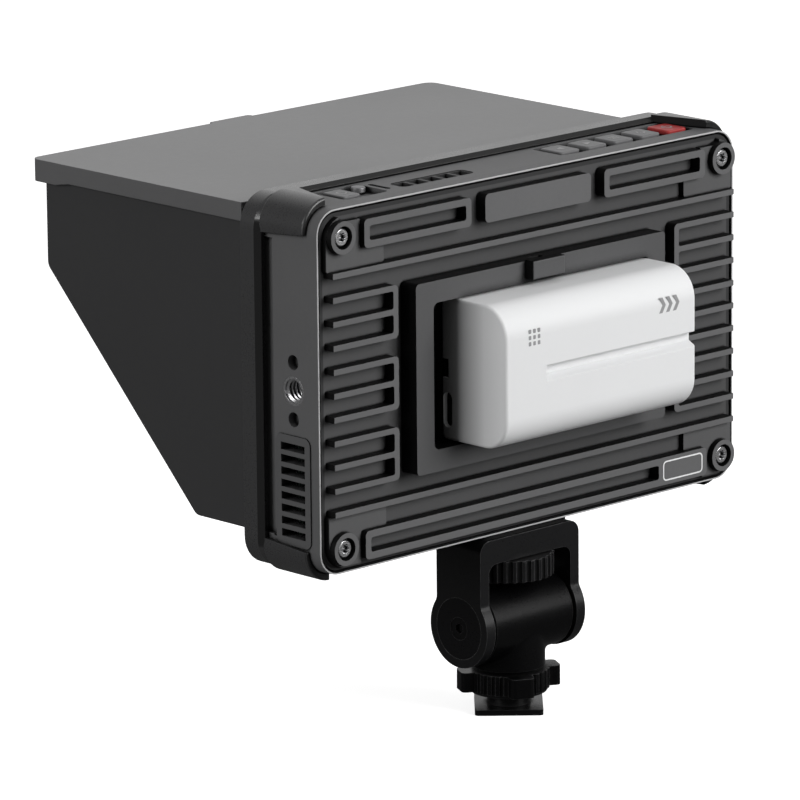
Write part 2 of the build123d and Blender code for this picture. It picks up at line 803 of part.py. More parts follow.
def make_rear_cover():
    """Cast rear cover: plate, corner blocks, ribs, combs, pockets, bosses and board standoffs."""
    cover = slab(cover_half_width, cover_half_height, body_corner - rim_width - seam, cover_inner_y, cover_y)
    blocks = Sketch()
    for side in (-1, 1):
        inner = side * corner_block_inner - (corner_block_right_shift if side < 0 else 0)
        for half in (-1, 1):
            blocks += area(inner, side * corner_block_outer, half * corner_block_low,
                           half * corner_block_high, corner_block_edge)
    blocks -= area(-pocket_outer, pocket_outer, pocket_low, body_half_height, corner_block_edge)
    blocks -= area(-cover_screw_x, cover_screw_x, pocket_high, body_half_height, corner_block_edge)
    blocks -= area(long_pocket_right, long_pocket_left, -body_half_height, long_pocket_high,
                   corner_block_edge)
    rounding = RectangleRounded(2 * corner_block_outer, 2 * corner_block_high, corner_block_round)
    cover += raise_from(cover_y, blocks & rounding, corner_block_height)
    cover += raise_from(cover_y, relief_sketch(), fin_height)
    cover -= raise_from(recess_floor_y, battery_recess(), cover_y - recess_floor_y)
    for x in (-cover_screw_x, cover_screw_x):
        for z in (-cover_screw_z, cover_screw_z):
            well = (x, rear_y - cover_well_depth, body_z + z)
            cover -= round_rod("y", well, cover_well_radius, cover_well_depth + 1)
            hole = (x, cover_inner_y - 1, body_z + z)
            cover -= round_rod("y", hole, screw_shank_radius + running, rear_y - cover_inner_y + 1)
    for x in (-standoff_x, standoff_x):
        for z in (-standoff_z, standoff_z):
            cover += round_rod("y", (x, board_y, body_z + z), standoff_radius, cover_inner_y - board_y)
    return cover


def make_cover_screw(x, z):
    """Star-socket cover screw in its well."""
    top_y = rear_y - cover_well_depth + screw_head_thick
    head = round_rod("y", (x, top_y - screw_head_thick, body_z + z), screw_head_radius, screw_head_thick)
    head = chamfer(head.edges().group_by(Axis.Y)[-1], screw_head_chamfer)
    shank = round_rod("y", (x, shank_end, body_z + z), screw_shank_radius, screw_shank_length)
    lobes = PolarLocations(torx_radius * torx_lobe_ring, torx_lobes) * Circle(torx_radius * torx_lobe_share)
    star = Circle(torx_radius) - lobes
    seat = Plane((x, top_y, body_z + z), z_dir=(0, -1, 0))
    return head + shank - extrude(seat * star, amount=torx_depth)


def make_cover_glass():
    """Front glass in its seat before the ledge."""
    return slab(inner_half_width - seam, inner_half_height - seam, body_corner - body_wall - seam,
                ledge_front_y - glass_thick, ledge_front_y)


def make_display_gasket():
    """Foam gasket behind the ledge."""
    half_width = inner_half_width - seam
    half_height = inner_half_height - seam
    outline = RectangleRounded(2 * half_width, 2 * half_height, body_corner - body_wall - seam)
    opening_width = inner_half_width - gasket_width
    opening_height = inner_half_height - gasket_width
    outline -= RectangleRounded(2 * opening_width, 2 * opening_height, spreader_corner)
    return raise_from(ledge_front_y + ledge_thick, outline, gasket_thick)


def make_display_panel():
    """Screen module behind the gasket."""
    return slab(inner_half_width - panel_inset, inner_half_height - panel_inset, panel_corner,
                panel_front_y, panel_front_y + panel_thick)


def make_heat_spreader():
    """Metal sheet on the back of the screen module."""
    start = panel_front_y + panel_thick
    return slab(inner_half_width - gasket_width, inner_half_height - gasket_width, spreader_corner,
                start, start + spreader_thick)


def make_main_board():
    """Main board on the cover's standoffs, notched round the thread bosses, with its chips."""
    half_width = inner_half_width - board_inset
    half_height = inner_half_height - board_inset - board_trim
    board = slab(half_width, half_height, board_corner, board_front_y, board_y)
    side_notch = body_half_width - insert_depth - insert_boss_floor - seam
    board -= block(side_notch, body_half_width, board_front_y, board_y, body_z - board_notch_half,
                   body_z + board_notch_half)
    foot_notch = body_bottom + insert_depth + insert_boss_floor + seam
    board -= block(-board_notch_half, board_notch_half, board_front_y, board_y, body_bottom, foot_notch)
    half = chip_side / 2
    for x, z in chip_places:
        low = body_z + z - half
        board += block(x - half, x + half, board_y, board_y + chip_height, low, low + chip_side)
    return board


def make_thermal_pad():
    """Soft pad that carries the main chip's heat to the cover."""
    x, z = chip_places[0]
    half = thermal_pad_side / 2
    low = body_z + z - half
    return block(x - half, x + half, board_y + chip_height, cover_inner_y, low, low + thermal_pad_side)


def make_key_board(x0, x1):
    """Small board under a group of keys, held by two posts on the frame's ceiling."""
    stem_foot = well_floor + key_lift - key_stem_length()
    top = body_z + stem_foot - key_travel - key_stem_gap
    y0 = key_row_y - key_length / 2
    y1 = key_row_y + key_length / 2
    board = block(x0, x1, y0, y1, top - key_board_thick, top)
    ceiling = body_z + inner_half_height
    for x in (x0 + key_post_inset, x1 - key_post_inset):
        board += round_rod("z", (x, key_row_y, top), key_post_radius, ceiling - top)
    return board


def key_stem_length():
    """Length of a key's stem below its cap."""
    return well_floor + key_lift - inner_half_height + key_stem_below


def make_key(x, y, cap):
    """A key cap on its stem."""
    bottom = body_z + well_floor + key_lift
    shape = Pos(x, y, bottom) * extrude(cap, amount=key_thick)
    shape = fillet(shape.edges().group_by(Axis.Z)[-1], key_round)
    return shape + round_rod("z", (x, y, bottom - key_stem_length()), key_stem_radius, key_stem_length())


def make_side_grille():
    """Side vent grille: a rimmed insert with eight slots."""
    rim = block(body_half_width, body_half_width + vent_proud, vent_front - vent_rim, vent_back + vent_rim,
                body_z + vent_low - vent_rim, body_z + vent_high + vent_rim)
    rim = fillet(rim.edges().filter_by(Axis.X), vent_corner)
    core = block(inner_half_width, body_half_width, vent_front + slip, vent_back - slip,
                 body_z + vent_low + slip, body_z + vent_high - slip)
    core = fillet(core.edges().filter_by(Axis.X), vent_corner - vent_rim / 2)
    grille = rim + core
    pitch = (vent_high - vent_low) / vent_slots
    for index in range(vent_slots):
        middle = body_z + vent_low + (index + 0.5) * pitch
        slot_half = (pitch - vent_bar) / 2
        grille -= block(inner_half_width - 1, body_half_width + 1, vent_front + vent_slot_inset,
                        vent_back - vent_slot_inset, middle - slot_half, middle + slot_half)
    return grille


def make_top_grille():
    """Top vent grille with its cross ribs, level with the top face."""
    outer = block(top_vent_right + slip, top_vent_left - slip, top_vent_front + slip, top_vent_back - slip,
                  body_z + inner_half_height, body_top - top_vent_drop)
    grille = fillet(outer.edges().filter_by(Axis.Z), top_vent_corner - slip)
    inner_length = top_vent_left - top_vent_right - 2 * top_vent_rim
    cell = (inner_length - top_vent_ribs * top_vent_rib) / (top_vent_ribs + 1)
    for index in range(top_vent_ribs + 1):
        start = top_vent_right + top_vent_rim + index * (cell + top_vent_rib)
        grille -= block(start, start + cell, top_vent_front + top_vent_rim, top_vent_back - top_vent_rim,
                        body_z + inner_half_height - 1, body_top)
    return grille


def make_thread_insert(axis):
    """Steel insert with a standard tripod thread bore, in the side wall or the underside."""
    if axis == "x":
        outer = round_rod("x", (body_half_width - insert_depth, 0, body_z), insert_radius, insert_depth)
        start = body_half_width - insert_depth + insert_floor
        return outer - round_rod("x", (start, 0, body_z), thread_radius, insert_depth)
    outer = round_rod("z", (0, 0, body_bottom), insert_radius, insert_depth)
    return outer - round_rod("z", (0, 0, body_bottom - insert_floor), thread_radius, insert_depth)


def battery_recess():
    """Outline of the recess that the battery's base sinks into."""
    return area(recess_right, recess_left, -recess_half_height, recess_half_height, recess_corner)


def make_battery_plate():
    """Raised battery plate round the recess, with its hooks and latch slot."""
    outline = area(plate_right, plate_left, -plate_half_height, plate_half_height, plate_corner)
    plate = raise_from(cover_y, outline - battery_recess(), plate_height)
    hook_y = battery_base_y + hook_lift
    for start in hook_positions:
        for side in (-1, 1):
            near = body_z + side * (recess_half_height + hook_root)
            far = body_z + side * (recess_half_height - hook_reach)
            plate += block(start, start + hook_length, hook_y, hook_y + hook_thick, near, far)
    middle = (latch_left + latch_right) / 2
    slot_top = body_z + latch_high - latch_stem_high + latch_travel
    plate -= block(middle - latch_slot_half, middle + latch_slot_half, latch_floor_y, plate_top_y + 1,
                   body_z + latch_low + latch_stem_low - seam, slot_top)
    return plate


def make_battery_latch():
    """Latch block on the plate's upper border, with the stem that slides in the plate."""
    head = block(latch_right, latch_left, plate_top_y + running, plate_top_y + latch_height,
                 body_z + latch_low, body_z + latch_high)
    head = fillet(head.edges().group_by(Axis.Y)[-1], small_round)
    middle = (latch_left + latch_right) / 2
    half = latch_slot_half - running
    stem = block(middle - half, middle + half, latch_floor_y + seam, plate_top_y + 1,
                 body_z + latch_low + latch_stem_low, body_z + latch_high - latch_stem_high - running)
    return head + stem


def make_battery_contacts():
    """Contact blades on the recess floor, at its right end."""
    blades = Part()
    for index in range(contact_count):
        z = body_z + (index - (contact_count - 1) / 2) * contact_pitch
        start = recess_right + contact_setback
        blade_end = recess_floor_y + seam + contact_height
        blades += block(start, start + contact_length, recess_floor_y, blade_end,
                        z - contact_thick / 2, z + contact_thick / 2)
    return blades


def battery_section(shrink):
    """Cross-section of the battery across its length: small base corners, large outer ones."""
    half = battery_half_height - shrink
    thick = battery_thick - 2 * shrink
    outline = Pos(0, thick / 2) * Rectangle(2 * half, thick)
    outer = [v for v in outline.vertices() if v.Y > thick / 2]
    outline = fillet(outer, battery_round - shrink)
    base = [v for v in outline.vertices() if v.Y < 0.01]
    return fillet(base, battery_base_round)


def battery_body(shrink, x0, x1):
    """The battery's section carried along X."""
    plane = Plane((x0, battery_base_y + shrink, body_z), x_dir=(0, 0, -1), z_dir=(1, 0, 0))
    return extrude(plane * battery_section(shrink), amount=x1 - x0)


def cell_room(grow):
    """Room for the cells in the case, clear of the grip groove; grow is negative for the cells."""
    x0 = battery_right + battery_right_wall
    x1 = battery_left - battery_left_wall
    room = battery_body(battery_wall - grow, x0 - grow, x1 + grow)
    half = groove_room_half - grow
    return room - block(x0 - 1, x1 + 1, battery_top_y - groove_depth - groove_wall + grow, battery_top_y,
                        body_z - half, body_z + half)


def make_battery_case():
    """Battery case with its grip groove, end notch, end slot, hook grooves and contact slots."""
    case = battery_body(0, battery_right, battery_left)
    case = fillet(case.edges().group_by(Axis.X)[-1], battery_end_round)
    case = fillet(case.edges().group_by(Axis.X)[0], battery_end_round)
    case -= cell_room(0)
    groove = Plane((battery_right - 1, battery_top_y, body_z), x_dir=(0, 0, 1), z_dir=(1, 0, 0))
    points = [(groove_high, -1), (groove_high - groove_lean, groove_depth), (groove_floor_low, groove_depth),
              (groove_low, -1)]
    case -= extrude(groove * make_face(Polyline(points, close=True)), amount=groove_length + 1)
    case = cut_battery_end(case, battery_left)
    return cut_battery_seats(case)


def cut_battery_end(case, x1):
    """Square notch and oval slot on the battery's near end."""
    case -= block(x1 - end_notch_depth, x1 + 1, battery_base_y - 1, battery_base_y + end_notch_height,
                  body_z - end_notch_width / 2, body_z + end_notch_width / 2)
    slot_y = battery_base_y + end_slot_lift + end_slot_width / 2
    slot_plane = Plane((x1, slot_y, body_z + end_slot_z), x_dir=(0, 0, 1), z_dir=(-1, 0, 0))
    return case - extrude(slot_plane * SlotOverall(end_slot_length, end_slot_width), amount=end_notch_depth)


def cut_battery_seats(case):
    """Grooves that the plate's hooks run in, with their way out, and slots over the contacts."""
    groove_y = battery_base_y + hook_lift - seam
    for start in hook_positions:
        for side in (-1, 1):
            inner = body_z + side * (recess_half_height - hook_reach - seam)
            outer = body_z + side * (battery_half_height + 1)
            run_start = start - battery_travel - seam
            way_out = run_start + hook_length + 2 * seam
            groove_top = groove_y + hook_thick + 2 * seam
            case -= block(run_start, start + hook_length + seam, groove_y, groove_top, inner, outer)
            case -= block(run_start, way_out, battery_base_y - 1, groove_top, inner, outer)
    for index in range(contact_count):
        z = body_z + (index - (contact_count - 1) / 2) * contact_pitch
        half = contact_thick / 2 + seam
        slot_end = recess_right + contact_setback + contact_length + seam
        slot_depth = battery_base_y + contact_height + seam
        case -= block(battery_right - 1, slot_end, battery_base_y - 1, slot_depth, z - half, z + half)
    return case


def make_battery_cells():
    """Pair of cells inside the battery case."""
    return cell_room(-running)


def make_hood_frame():
    """Hood frame: a ring round the front of the body, a front lip, four corner claws and knuckles."""
    outer_half_width = body_half_width + seam + ring_wall
    outer_half_height = body_half_height + seam + ring_end_wall
    outer_corner = body_corner + seam + ring_wall
    ring = slab(outer_half_width, outer_half_height, outer_corner, ring_front_y, ring_end_y)
    ring = chamfer(ring.edges().group_by(Axis.Y)[0], ring_bevel)
    rear_face = ring.faces().sort_by(Axis.Y)[-1]
    ring = chamfer(rear_face.edges(), ring_slope_inset, ring_slope_depth, reference=rear_face)
    claw_half_width = body_half_width + seam + claw_wall
    claw_half_height = body_half_height + seam + claw_end_wall
    claws = slab(claw_half_width, claw_half_height, outer_corner, claw_start_y, claw_back_y)
    claws = fillet(claws.edges().group_by(Axis.Y)[-1], claw_round)
    frame = ring + trim_claws(claws, claw_half_width, claw_half_height)
    frame -= slab(body_half_width + seam, body_half_height + seam, body_corner + seam,
                  ring_front_y + ring_lip, claw_back_y)
    frame -= slab(ring_opening_half_width, ring_opening_half_height, ring_opening_corner,
                  ring_front_y, ring_front_y + ring_lip)
    return add_ring_knuckles(frame)


def trim_claws(claws, half_width, half_height):
    """Leave only the four corners of the claw tube, with slanting edges."""
    top_points = [(-claw_top_near, claw_start_y), (-claw_top_far, claw_back_y + 1),
                  (claw_top_far, claw_back_y + 1), (claw_top_near, claw_start_y)]
    top_cut = make_face(Polyline(top_points, close=True))
    claws -= Pos(0, 0, body_z - half_height - 1) * extrude(top_cut, amount=2 * half_height + 2)
    side_points = [(claw_start_y, -claw_side_near), (claw_back_y + 1, -claw_side_far),
                   (claw_back_y + 1, claw_side_far), (claw_start_y, claw_side_near)]
    side_plane = Plane((-half_width - 1, 0, body_z), x_dir=(0, 1, 0), z_dir=(1, 0, 0))
    side_cut = make_face(Polyline(side_points, close=True))
    return claws - extrude(side_plane * side_cut, amount=2 * half_width + 2)


def side_hinge_place(side):
    """X and Y of a side panel's hinge axis; the far one stands further out to fold over the near one."""
    x = side * (top_half_width - skirt_wall - side_gap - panel_sheet / 2)
    y = hinge_y - (side_hinge_offset if side < 0 else 0)
    return x, y


def top_hinge_z():
    """Height of the top panel's hinge axis."""
    return body_z + top_surface - hinge_radius


def add_ring_knuckles(frame):
    """Knuckles and their lugs on the ring's front for the three panels."""
    for side in (-1, 1):
        x, y = side_hinge_place(side)
        for half in (-1, 1):
            start = half * (side_knuckle_half + knuckle_gap)
            end = start + half * end_knuckle
            low = body_z + min(start, end)
            frame += round_rod("z", (x, y, low), hinge_radius, end_knuckle)
            frame += block(x - hinge_radius, x + hinge_radius, y, ring_front_y, low, low + end_knuckle)
        bore_start = (x, y, body_z - side_bore_half())
        frame -= round_rod("z", bore_start, hinge_pin_radius + running / 2, 2 * side_bore_half())
    z = top_hinge_z()
    for x in (-top_knuckle_x, top_knuckle_x):
        for half in (-1, 1):
            start = x + half * (top_knuckle_half + knuckle_gap)
            low = min(start, start + half * end_knuckle)
            frame += round_rod("x", (low, hinge_y, z), hinge_radius, end_knuckle)
            frame += block(low, low + end_knuckle, hinge_y, ring_front_y, z - hinge_radius, z + hinge_radius)
        start = x - top_bore_half()
        frame -= round_rod("x", (start, hinge_y, z), hinge_pin_radius + running / 2, 2 * top_bore_half())
    return frame


def side_bore_half():
    """Half length of a side hinge pin."""
    return side_knuckle_half + knuckle_gap + end_knuckle - pin_end_inset


def top_bore_half():
    """Half length of a top hinge pin."""
    return top_knuckle_half + knuckle_gap + end_knuckle - pin_end_inset


def make_side_hinge_pin(side):
    """Pin of a side panel's hinge."""
    x, y = side_hinge_place(side)
    return round_rod("z", (x, y, body_z - side_bore_half()), hinge_pin_radius, 2 * side_bore_half())


def make_top_hinge_pin(x):
    """Pin of one of the top panel's two hinges."""
    start = (x - top_bore_half(), hinge_y, top_hinge_z())
    return round_rod("x", start, hinge_pin_radius, 2 * top_bore_half())


def make_hood_side(side):
    """Side panel of the hood with a slanting lower front corner and a hinge knuckle."""
    x, y = side_hinge_place(side)
    rear = y - hinge_radius - side_gap
    lower_front = side_front_y + side_diagonal_foot
    points = [(rear, side_top), (side_front_y, side_top), (side_front_y, side_diagonal_top),
              (lower_front, side_bottom), (rear, side_bottom)]
    outline = make_face(Polyline(points, close=True))
    front_corners = [v for v in outline.vertices() if v.X < lower_front + 1]
    outline = fillet(front_corners, side_corner)
    plane = Plane((x - panel_sheet / 2, 0, body_z), x_dir=(0, 1, 0), z_dir=(1, 0, 0))
    sheet = extrude(plane * outline, amount=panel_sheet)
    low = body_z - side_knuckle_half
    length = 2 * side_knuckle_half
    sheet += round_rod("z", (x, y, low), hinge_radius, length)
    sheet += block(x - panel_sheet / 2, x + panel_sheet / 2, rear - 1, y, low, low + length)
    return sheet - round_rod("z", (x, y, low), hinge_pin_radius + running, length)


def make_hood_top():
    """Top panel of the hood: sheet with round front corners, side skirts, finger tab and knuckles."""
    rear = hinge_y - hinge_radius - side_gap
    top = body_z + top_surface
    depth = rear - hood_front_y
    middle = (rear + hood_front_y) / 2
    outline = Pos(0, middle) * Rectangle(2 * top_half_width, depth)
    front = [v for v in outline.vertices() if v.Y < middle]
    outline = fillet(front, top_corner)
    tab = Pos(tab_x, hood_front_y) * RectangleRounded(tab_length, 2 * tab_reach, tab_corner)
    sheet = Pos(0, 0, top - panel_sheet) * extrude(outline + tab, amount=panel_sheet)
    inner = offset(outline, -skirt_wall)
    full_depth = skirt_depth + skirt_step
    skirt = Pos(0, 0, top - full_depth) * extrude(outline - inner, amount=full_depth)
    ramp_start = hood_front_y + skirt_step_length
    ramp_points = [(ramp_start, top - full_depth), (ramp_start + skirt_ramp_length, top - skirt_depth),
                   (rear + 1, top - skirt_depth), (rear + 1, top - full_depth)]
    ramp_plane = Plane((-top_half_width - 1, 0, 0), x_dir=(0, 1, 0), z_dir=(1, 0, 0))
    ramp = make_face(Polyline(ramp_points, close=True))
    skirt -= extrude(ramp_plane * ramp, amount=2 * top_half_width + 2)
    inner_half = top_half_width - skirt_wall
    skirt -= block(-inner_half, inner_half, rear - 2 * skirt_wall, rear + 1, top - full_depth,
                   top - panel_sheet)
    lid = sheet + skirt
    z = top_hinge_z()
    for x in (-top_knuckle_x, top_knuckle_x):
        lid += round_rod("x", (x - top_knuckle_half, hinge_y, z), hinge_radius, 2 * top_knuckle_half)
        lid += block(x - top_knuckle_half, x + top_knuckle_half, rear - 1, hinge_y, z, top)
        bore = (x - top_knuckle_half, hinge_y, z)
        lid -= round_rod("x", bore, hinge_pin_radius + running, 2 * top_knuckle_half)
    return lid


def build_bracket():
    """Nodes of the shoe, post and yoke."""
    return {
        "shoe_foot": make_shoe_foot(),
        "lock_washer": make_lock_washer(),
        "lock_wheel": make_lock_wheel(),
        "tilt_post": make_tilt_post(),
        "friction_washer_left": make_friction_washer(1),
        "friction_washer_right": make_friction_washer(-1),
        "tilt_yoke": make_tilt_yoke(),
        "pivot_bolt": make_pivot_bolt(),
        "pivot_nut": make_pivot_nut(),
        "pivot_cap_left": make_pivot_cap(1),
        "pivot_cap_right": make_pivot_cap(-1),
        "yoke_pad": make_yoke_pad(),
        "mounting_screw": make_mounting_screw(),
    }


def build_body():
    """Nodes of the monitor body and what is fixed in it."""
    nodes = {
        "mid_frame": make_mid_frame(),
        "rear_cover": make_rear_cover(),
        "cover_glass": make_cover_glass(),
        "display_gasket": make_display_gasket(),
        "display_panel": make_display_panel(),
        "heat_spreader": make_heat_spreader(),
        "main_board": make_main_board(),
        "thermal_pad": make_thermal_pad(),
        "side_vent_grille": make_side_grille(),
        "top_vent_grille": make_top_grille(),
        "side_thread_insert": make_thread_insert("x"),
        "bottom_thread_insert": make_thread_insert("z"),
    }
    index = 1
    for x in (-cover_screw_x, cover_screw_x):
        for z in (-cover_screw_z, cover_screw_z):
            nodes[f"cover_screw_{index}"] = make_cover_screw(x, z)
            index += 1
    for name in port_share:
        nodes[name] = make_port(name)
    return nodes


def build_keys():
    """Nodes of the keys and of the boards under them."""
    square = RectangleRounded(key_width, key_length, key_corner)
    narrow = RectangleRounded(function_key_width, key_length, key_corner)
    centres = key_centres()
    nodes = {}
    for number, x in enumerate(centres[:key_count], start=1):
        nodes[f"key_{number}"] = make_key(x, key_row_y, square)
    nodes["power_key"] = make_key(centres[-1], key_row_y, square)
    nodes["function_key"] = make_key(function_key_x, key_row_y, narrow)
    nodes["jog_button"] = make_key(jog_x, jog_y, Circle(jog_radius))
    nodes["key_board_right"] = make_key_board(centres[-1] - key_board_over, centres[0] + key_board_over)
    nodes["key_board_left"] = make_key_board(jog_x - key_board_over, function_key_x + key_board_over)
    return nodes


def build_battery():
    """Nodes of the battery plate, its latch and the battery."""
    return {
        "battery_plate": make_battery_plate(),
        "battery_latch": make_battery_latch(),
        "battery_contacts": make_battery_contacts(),
        "battery_case": make_battery_case(),
        "battery_cells": make_battery_cells(),
    }


def build_hood():
    """Nodes of the hood."""
    return {
        "hood_frame": make_hood_frame(),
        "hood_top": make_hood_top(),
        "hood_side_left": make_hood_side(1),
        "hood_side_right": make_hood_side(-1),
        "hinge_pin_side_left": make_side_hinge_pin(1),
        "hinge_pin_side_right": make_side_hinge_pin(-1),
        "hinge_pin_top_left": make_top_hinge_pin(top_knuckle_x),
        "hinge_pin_top_right": make_top_hinge_pin(-top_knuckle_x),
    }


def main():
    """Build every node and write it to parts/."""
    os.makedirs("parts", exist_ok=True)
    for build in (build_bracket, build_body, build_keys, build_battery, build_hood):
        for name, shape in build().items():
            export_step(shape, f"parts/{name}.step")
            print(name, round(shape.volume, 1))


main()
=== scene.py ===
"""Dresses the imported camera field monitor: finishes, marks, threads, screen face, lights and camera.

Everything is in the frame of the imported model, in metres. Drawing sizes are written in millimetres and
pass through mm(). +X is the side with the side thread, +Y the back, and the screen faces -Y.
"""

import logging
import math
from dataclasses import dataclass, field, replace
from enum import Enum
from typing import Callable, Optional, Union

import bmesh
import bpy
from mathutils import Matrix, Vector

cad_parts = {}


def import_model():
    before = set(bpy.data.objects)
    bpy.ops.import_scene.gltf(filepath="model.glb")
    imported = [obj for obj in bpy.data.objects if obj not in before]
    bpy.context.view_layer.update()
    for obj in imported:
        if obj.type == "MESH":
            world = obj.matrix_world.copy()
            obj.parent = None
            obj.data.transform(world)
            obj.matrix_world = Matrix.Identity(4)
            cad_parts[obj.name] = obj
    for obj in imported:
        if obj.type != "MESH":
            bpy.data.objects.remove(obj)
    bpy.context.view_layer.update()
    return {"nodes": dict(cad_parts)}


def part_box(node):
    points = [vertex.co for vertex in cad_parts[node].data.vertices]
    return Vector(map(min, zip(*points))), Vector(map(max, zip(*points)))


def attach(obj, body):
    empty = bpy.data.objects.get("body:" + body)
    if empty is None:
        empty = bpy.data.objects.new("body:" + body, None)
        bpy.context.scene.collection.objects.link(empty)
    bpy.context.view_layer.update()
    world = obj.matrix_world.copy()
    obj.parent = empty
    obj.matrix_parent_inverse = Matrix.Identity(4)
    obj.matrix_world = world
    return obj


LOG = logging.getLogger("field_monitor")

Colour = tuple[float, float, float]
Flat = tuple[float, float]
Socket = bpy.types.NodeSocket
Feed = Union[float, Colour, Socket]
Sockets = dict[str, Socket]

# Near-black that the painted shade mixes in on floors, walls, ends, seams, slopes and the rim's inner line.
PAINTED_SHADE_BLACK: Colour = (0.0015, 0.0015, 0.0015)
# Near-black of the painted shade in crevices and inner corners.
PAINTED_CREVICE_SHADE: Colour = (0.002, 0.002, 0.002)
# Dark grey of the painted shade in the corners of bare metal.
PAINTED_METAL_CREVICE_SHADE: Colour = (0.01, 0.01, 0.01)
DUST_COLOUR: Colour = (0.42, 0.41, 0.4)
WHITE: Colour = (1.0, 1.0, 1.0)

MM_PER_METRE = 1000.0


def mm(value: float) -> float:
    """Millimetres as metres."""
    return value * 0.001


def grey(level: float, blue: Optional[float] = None) -> Colour:
    """A grey, with a blue level of its own where it isn't quite neutral."""
    return (level, level, level if blue is None else blue)


class Body(Enum):
    """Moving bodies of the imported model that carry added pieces."""

    HEAD = "head"
    BATTERY = "battery"
    POWER_KEY = "power_key_cap"
    FUNCTION_KEY = "function_key_cap"
    KEY_1 = "key_1_cap"
    KEY_2 = "key_2_cap"
    KEY_3 = "key_3_cap"
    KEY_4 = "key_4_cap"


class Effect(Enum):
    """Shader node groups that the finishes share."""

    GRAIN = "fine grain"
    # Edge mask for rubbed wear and a painted highlight on the edges.
    EDGES = "softened edges with wear and painted highlight"
    TONE = "uneven tone"
    DUST = "settled dust"
    TURNED = "turned lines"
    # Ambient-occlusion mask for painted shade in gaps and inner corners.
    CREVICE = "shaded crevices"
    OUTLINE = "distance from the body outline"


class NodeSheet:
    """A node tree being filled, with short ways to add nodes and feed their inputs."""

    columns = 8
    column_step = 200
    row_step = -220

    def __init__(self, tree: bpy.types.NodeTree) -> None:
        """Start on a tree.

        Args:
            tree: The material's or group's node tree.
        """
        self.tree = tree
        self.count = 0

    def add(self, kind: str, feeds: Optional[dict[Union[int, str], Feed]] = None,
            **settings: object) -> bpy.types.Node:
        """Add a node, set its properties and feed its inputs.

        Args:
            kind: The node's type name.
            feeds: Input name or index to a constant or to another node's output socket.
            settings: Node properties by name.

        Returns:
            The new node.
        """
        node = self.tree.nodes.new(kind)
        row, column = divmod(self.count, self.columns)
        node.location = (self.column_step * column, self.row_step * row)
        self.count += 1
        for name, value in settings.items():
            setattr(node, name, value)
        for key, value in (feeds or {}).items():
            self.feed(node.inputs[key], value)
        return node

    def feed(self, socket: Socket, value: Feed) -> None:
        """Link or set one input.

        Args:
            socket: The input socket.
            value: A constant, or the output socket to link.
        """
        if isinstance(value, Socket):
            self.tree.links.new(value, socket)
        elif isinstance(value, tuple) and socket.type == "RGBA":
            socket.default_value = (*value, 1.0)
        else:
            socket.default_value = value

    def math(self, operation: str, first: Feed, second: Feed = 0.0, third: Feed = 0.0,
             clamp: bool = False) -> Socket:
        """Value of one arithmetic step on two or three inputs."""
        feeds = {0: first, 1: second, 2: third}
        return self.add("ShaderNodeMath", feeds, operation=operation, use_clamp=clamp).outputs[0]

    def product(self, first: Feed, second: Feed) -> Socket:
        """Product of two values."""
        return self.math("MULTIPLY", first, second)

    def swing(self, mask: Feed, width: float) -> Socket:
        """How far a mask lies from its middle, over a width."""
        return self.product(self.math("SUBTRACT", mask, 0.5), width)

    def mix(self, share: Feed, first: Feed, second: Feed) -> Socket:
        """Colour between two colours by a share.

        Args:
            share: Share of the second colour.
            first: The first colour.
            second: The second colour.

        Returns:
            The colour.
        """
        share_input, first_input, second_input, colour_output = 0, 6, 7, 2
        feeds = {share_input: share, first_input: first, second_input: second}
        return self.add("ShaderNodeMix", data_type="RGBA", feeds=feeds).outputs[colour_output]

    def ramp(self, share: Feed, low: float, high: float) -> Socket:
        """Share stretched so that low becomes 0 and high becomes 1."""
        feeds = {0: share, 1: low, 2: high, 3: 0.0, 4: 1.0}
        return self.add("ShaderNodeMapRange", feeds, clamp=True).outputs[0]

    def place(self) -> Socket:
        """Position in the part's own frame."""
        return self.add("ShaderNodeTexCoord").outputs["Object"]

    def normal(self) -> Socket:
        """Direction of the face in the part's own frame."""
        return self.add("ShaderNodeTexCoord").outputs["Normal"]

    def split(self, vector: Feed) -> bpy.types.NodeOutputs:
        """The X, Y and Z of a vector."""
        return self.add("ShaderNodeSeparateXYZ", {0: vector}).outputs

    def dot(self, first: Feed, second: Feed) -> Socket:
        """Dot product of two vectors."""
        feeds = {0: first, 1: second}
        return self.add("ShaderNodeVectorMath", feeds, operation="DOT_PRODUCT").outputs["Value"]

    def noise(self, place: Feed, scale: Feed, detail: float = 3.0, roughness: float = 0.5) -> Socket:
        """Noise value at a place."""
        feeds = {"Vector": place, "Scale": scale, "Detail": detail, "Roughness": roughness}
        return self.add("ShaderNodeTexNoise", feeds).outputs["Fac"]

    def bump(self, height: Feed, height_mm: float, normal: Optional[Socket] = None) -> Socket:
        """Normal of a surface with a relief.

        Args:
            height: The relief, from 0 to 1.
            height_mm: What 1 stands for, in millimetres.
            normal: The normal below the relief, where it isn't the face's own.

        Returns:
            The bumped normal.
        """
        feeds = {"Strength": 1.0, "Distance": mm(height_mm), "Height": height}
        if normal is not None:
            feeds["Normal"] = normal
        return self.add("ShaderNodeBump", feeds).outputs[0]


Fill = Callable[[NodeSheet, Sockets], Sockets]


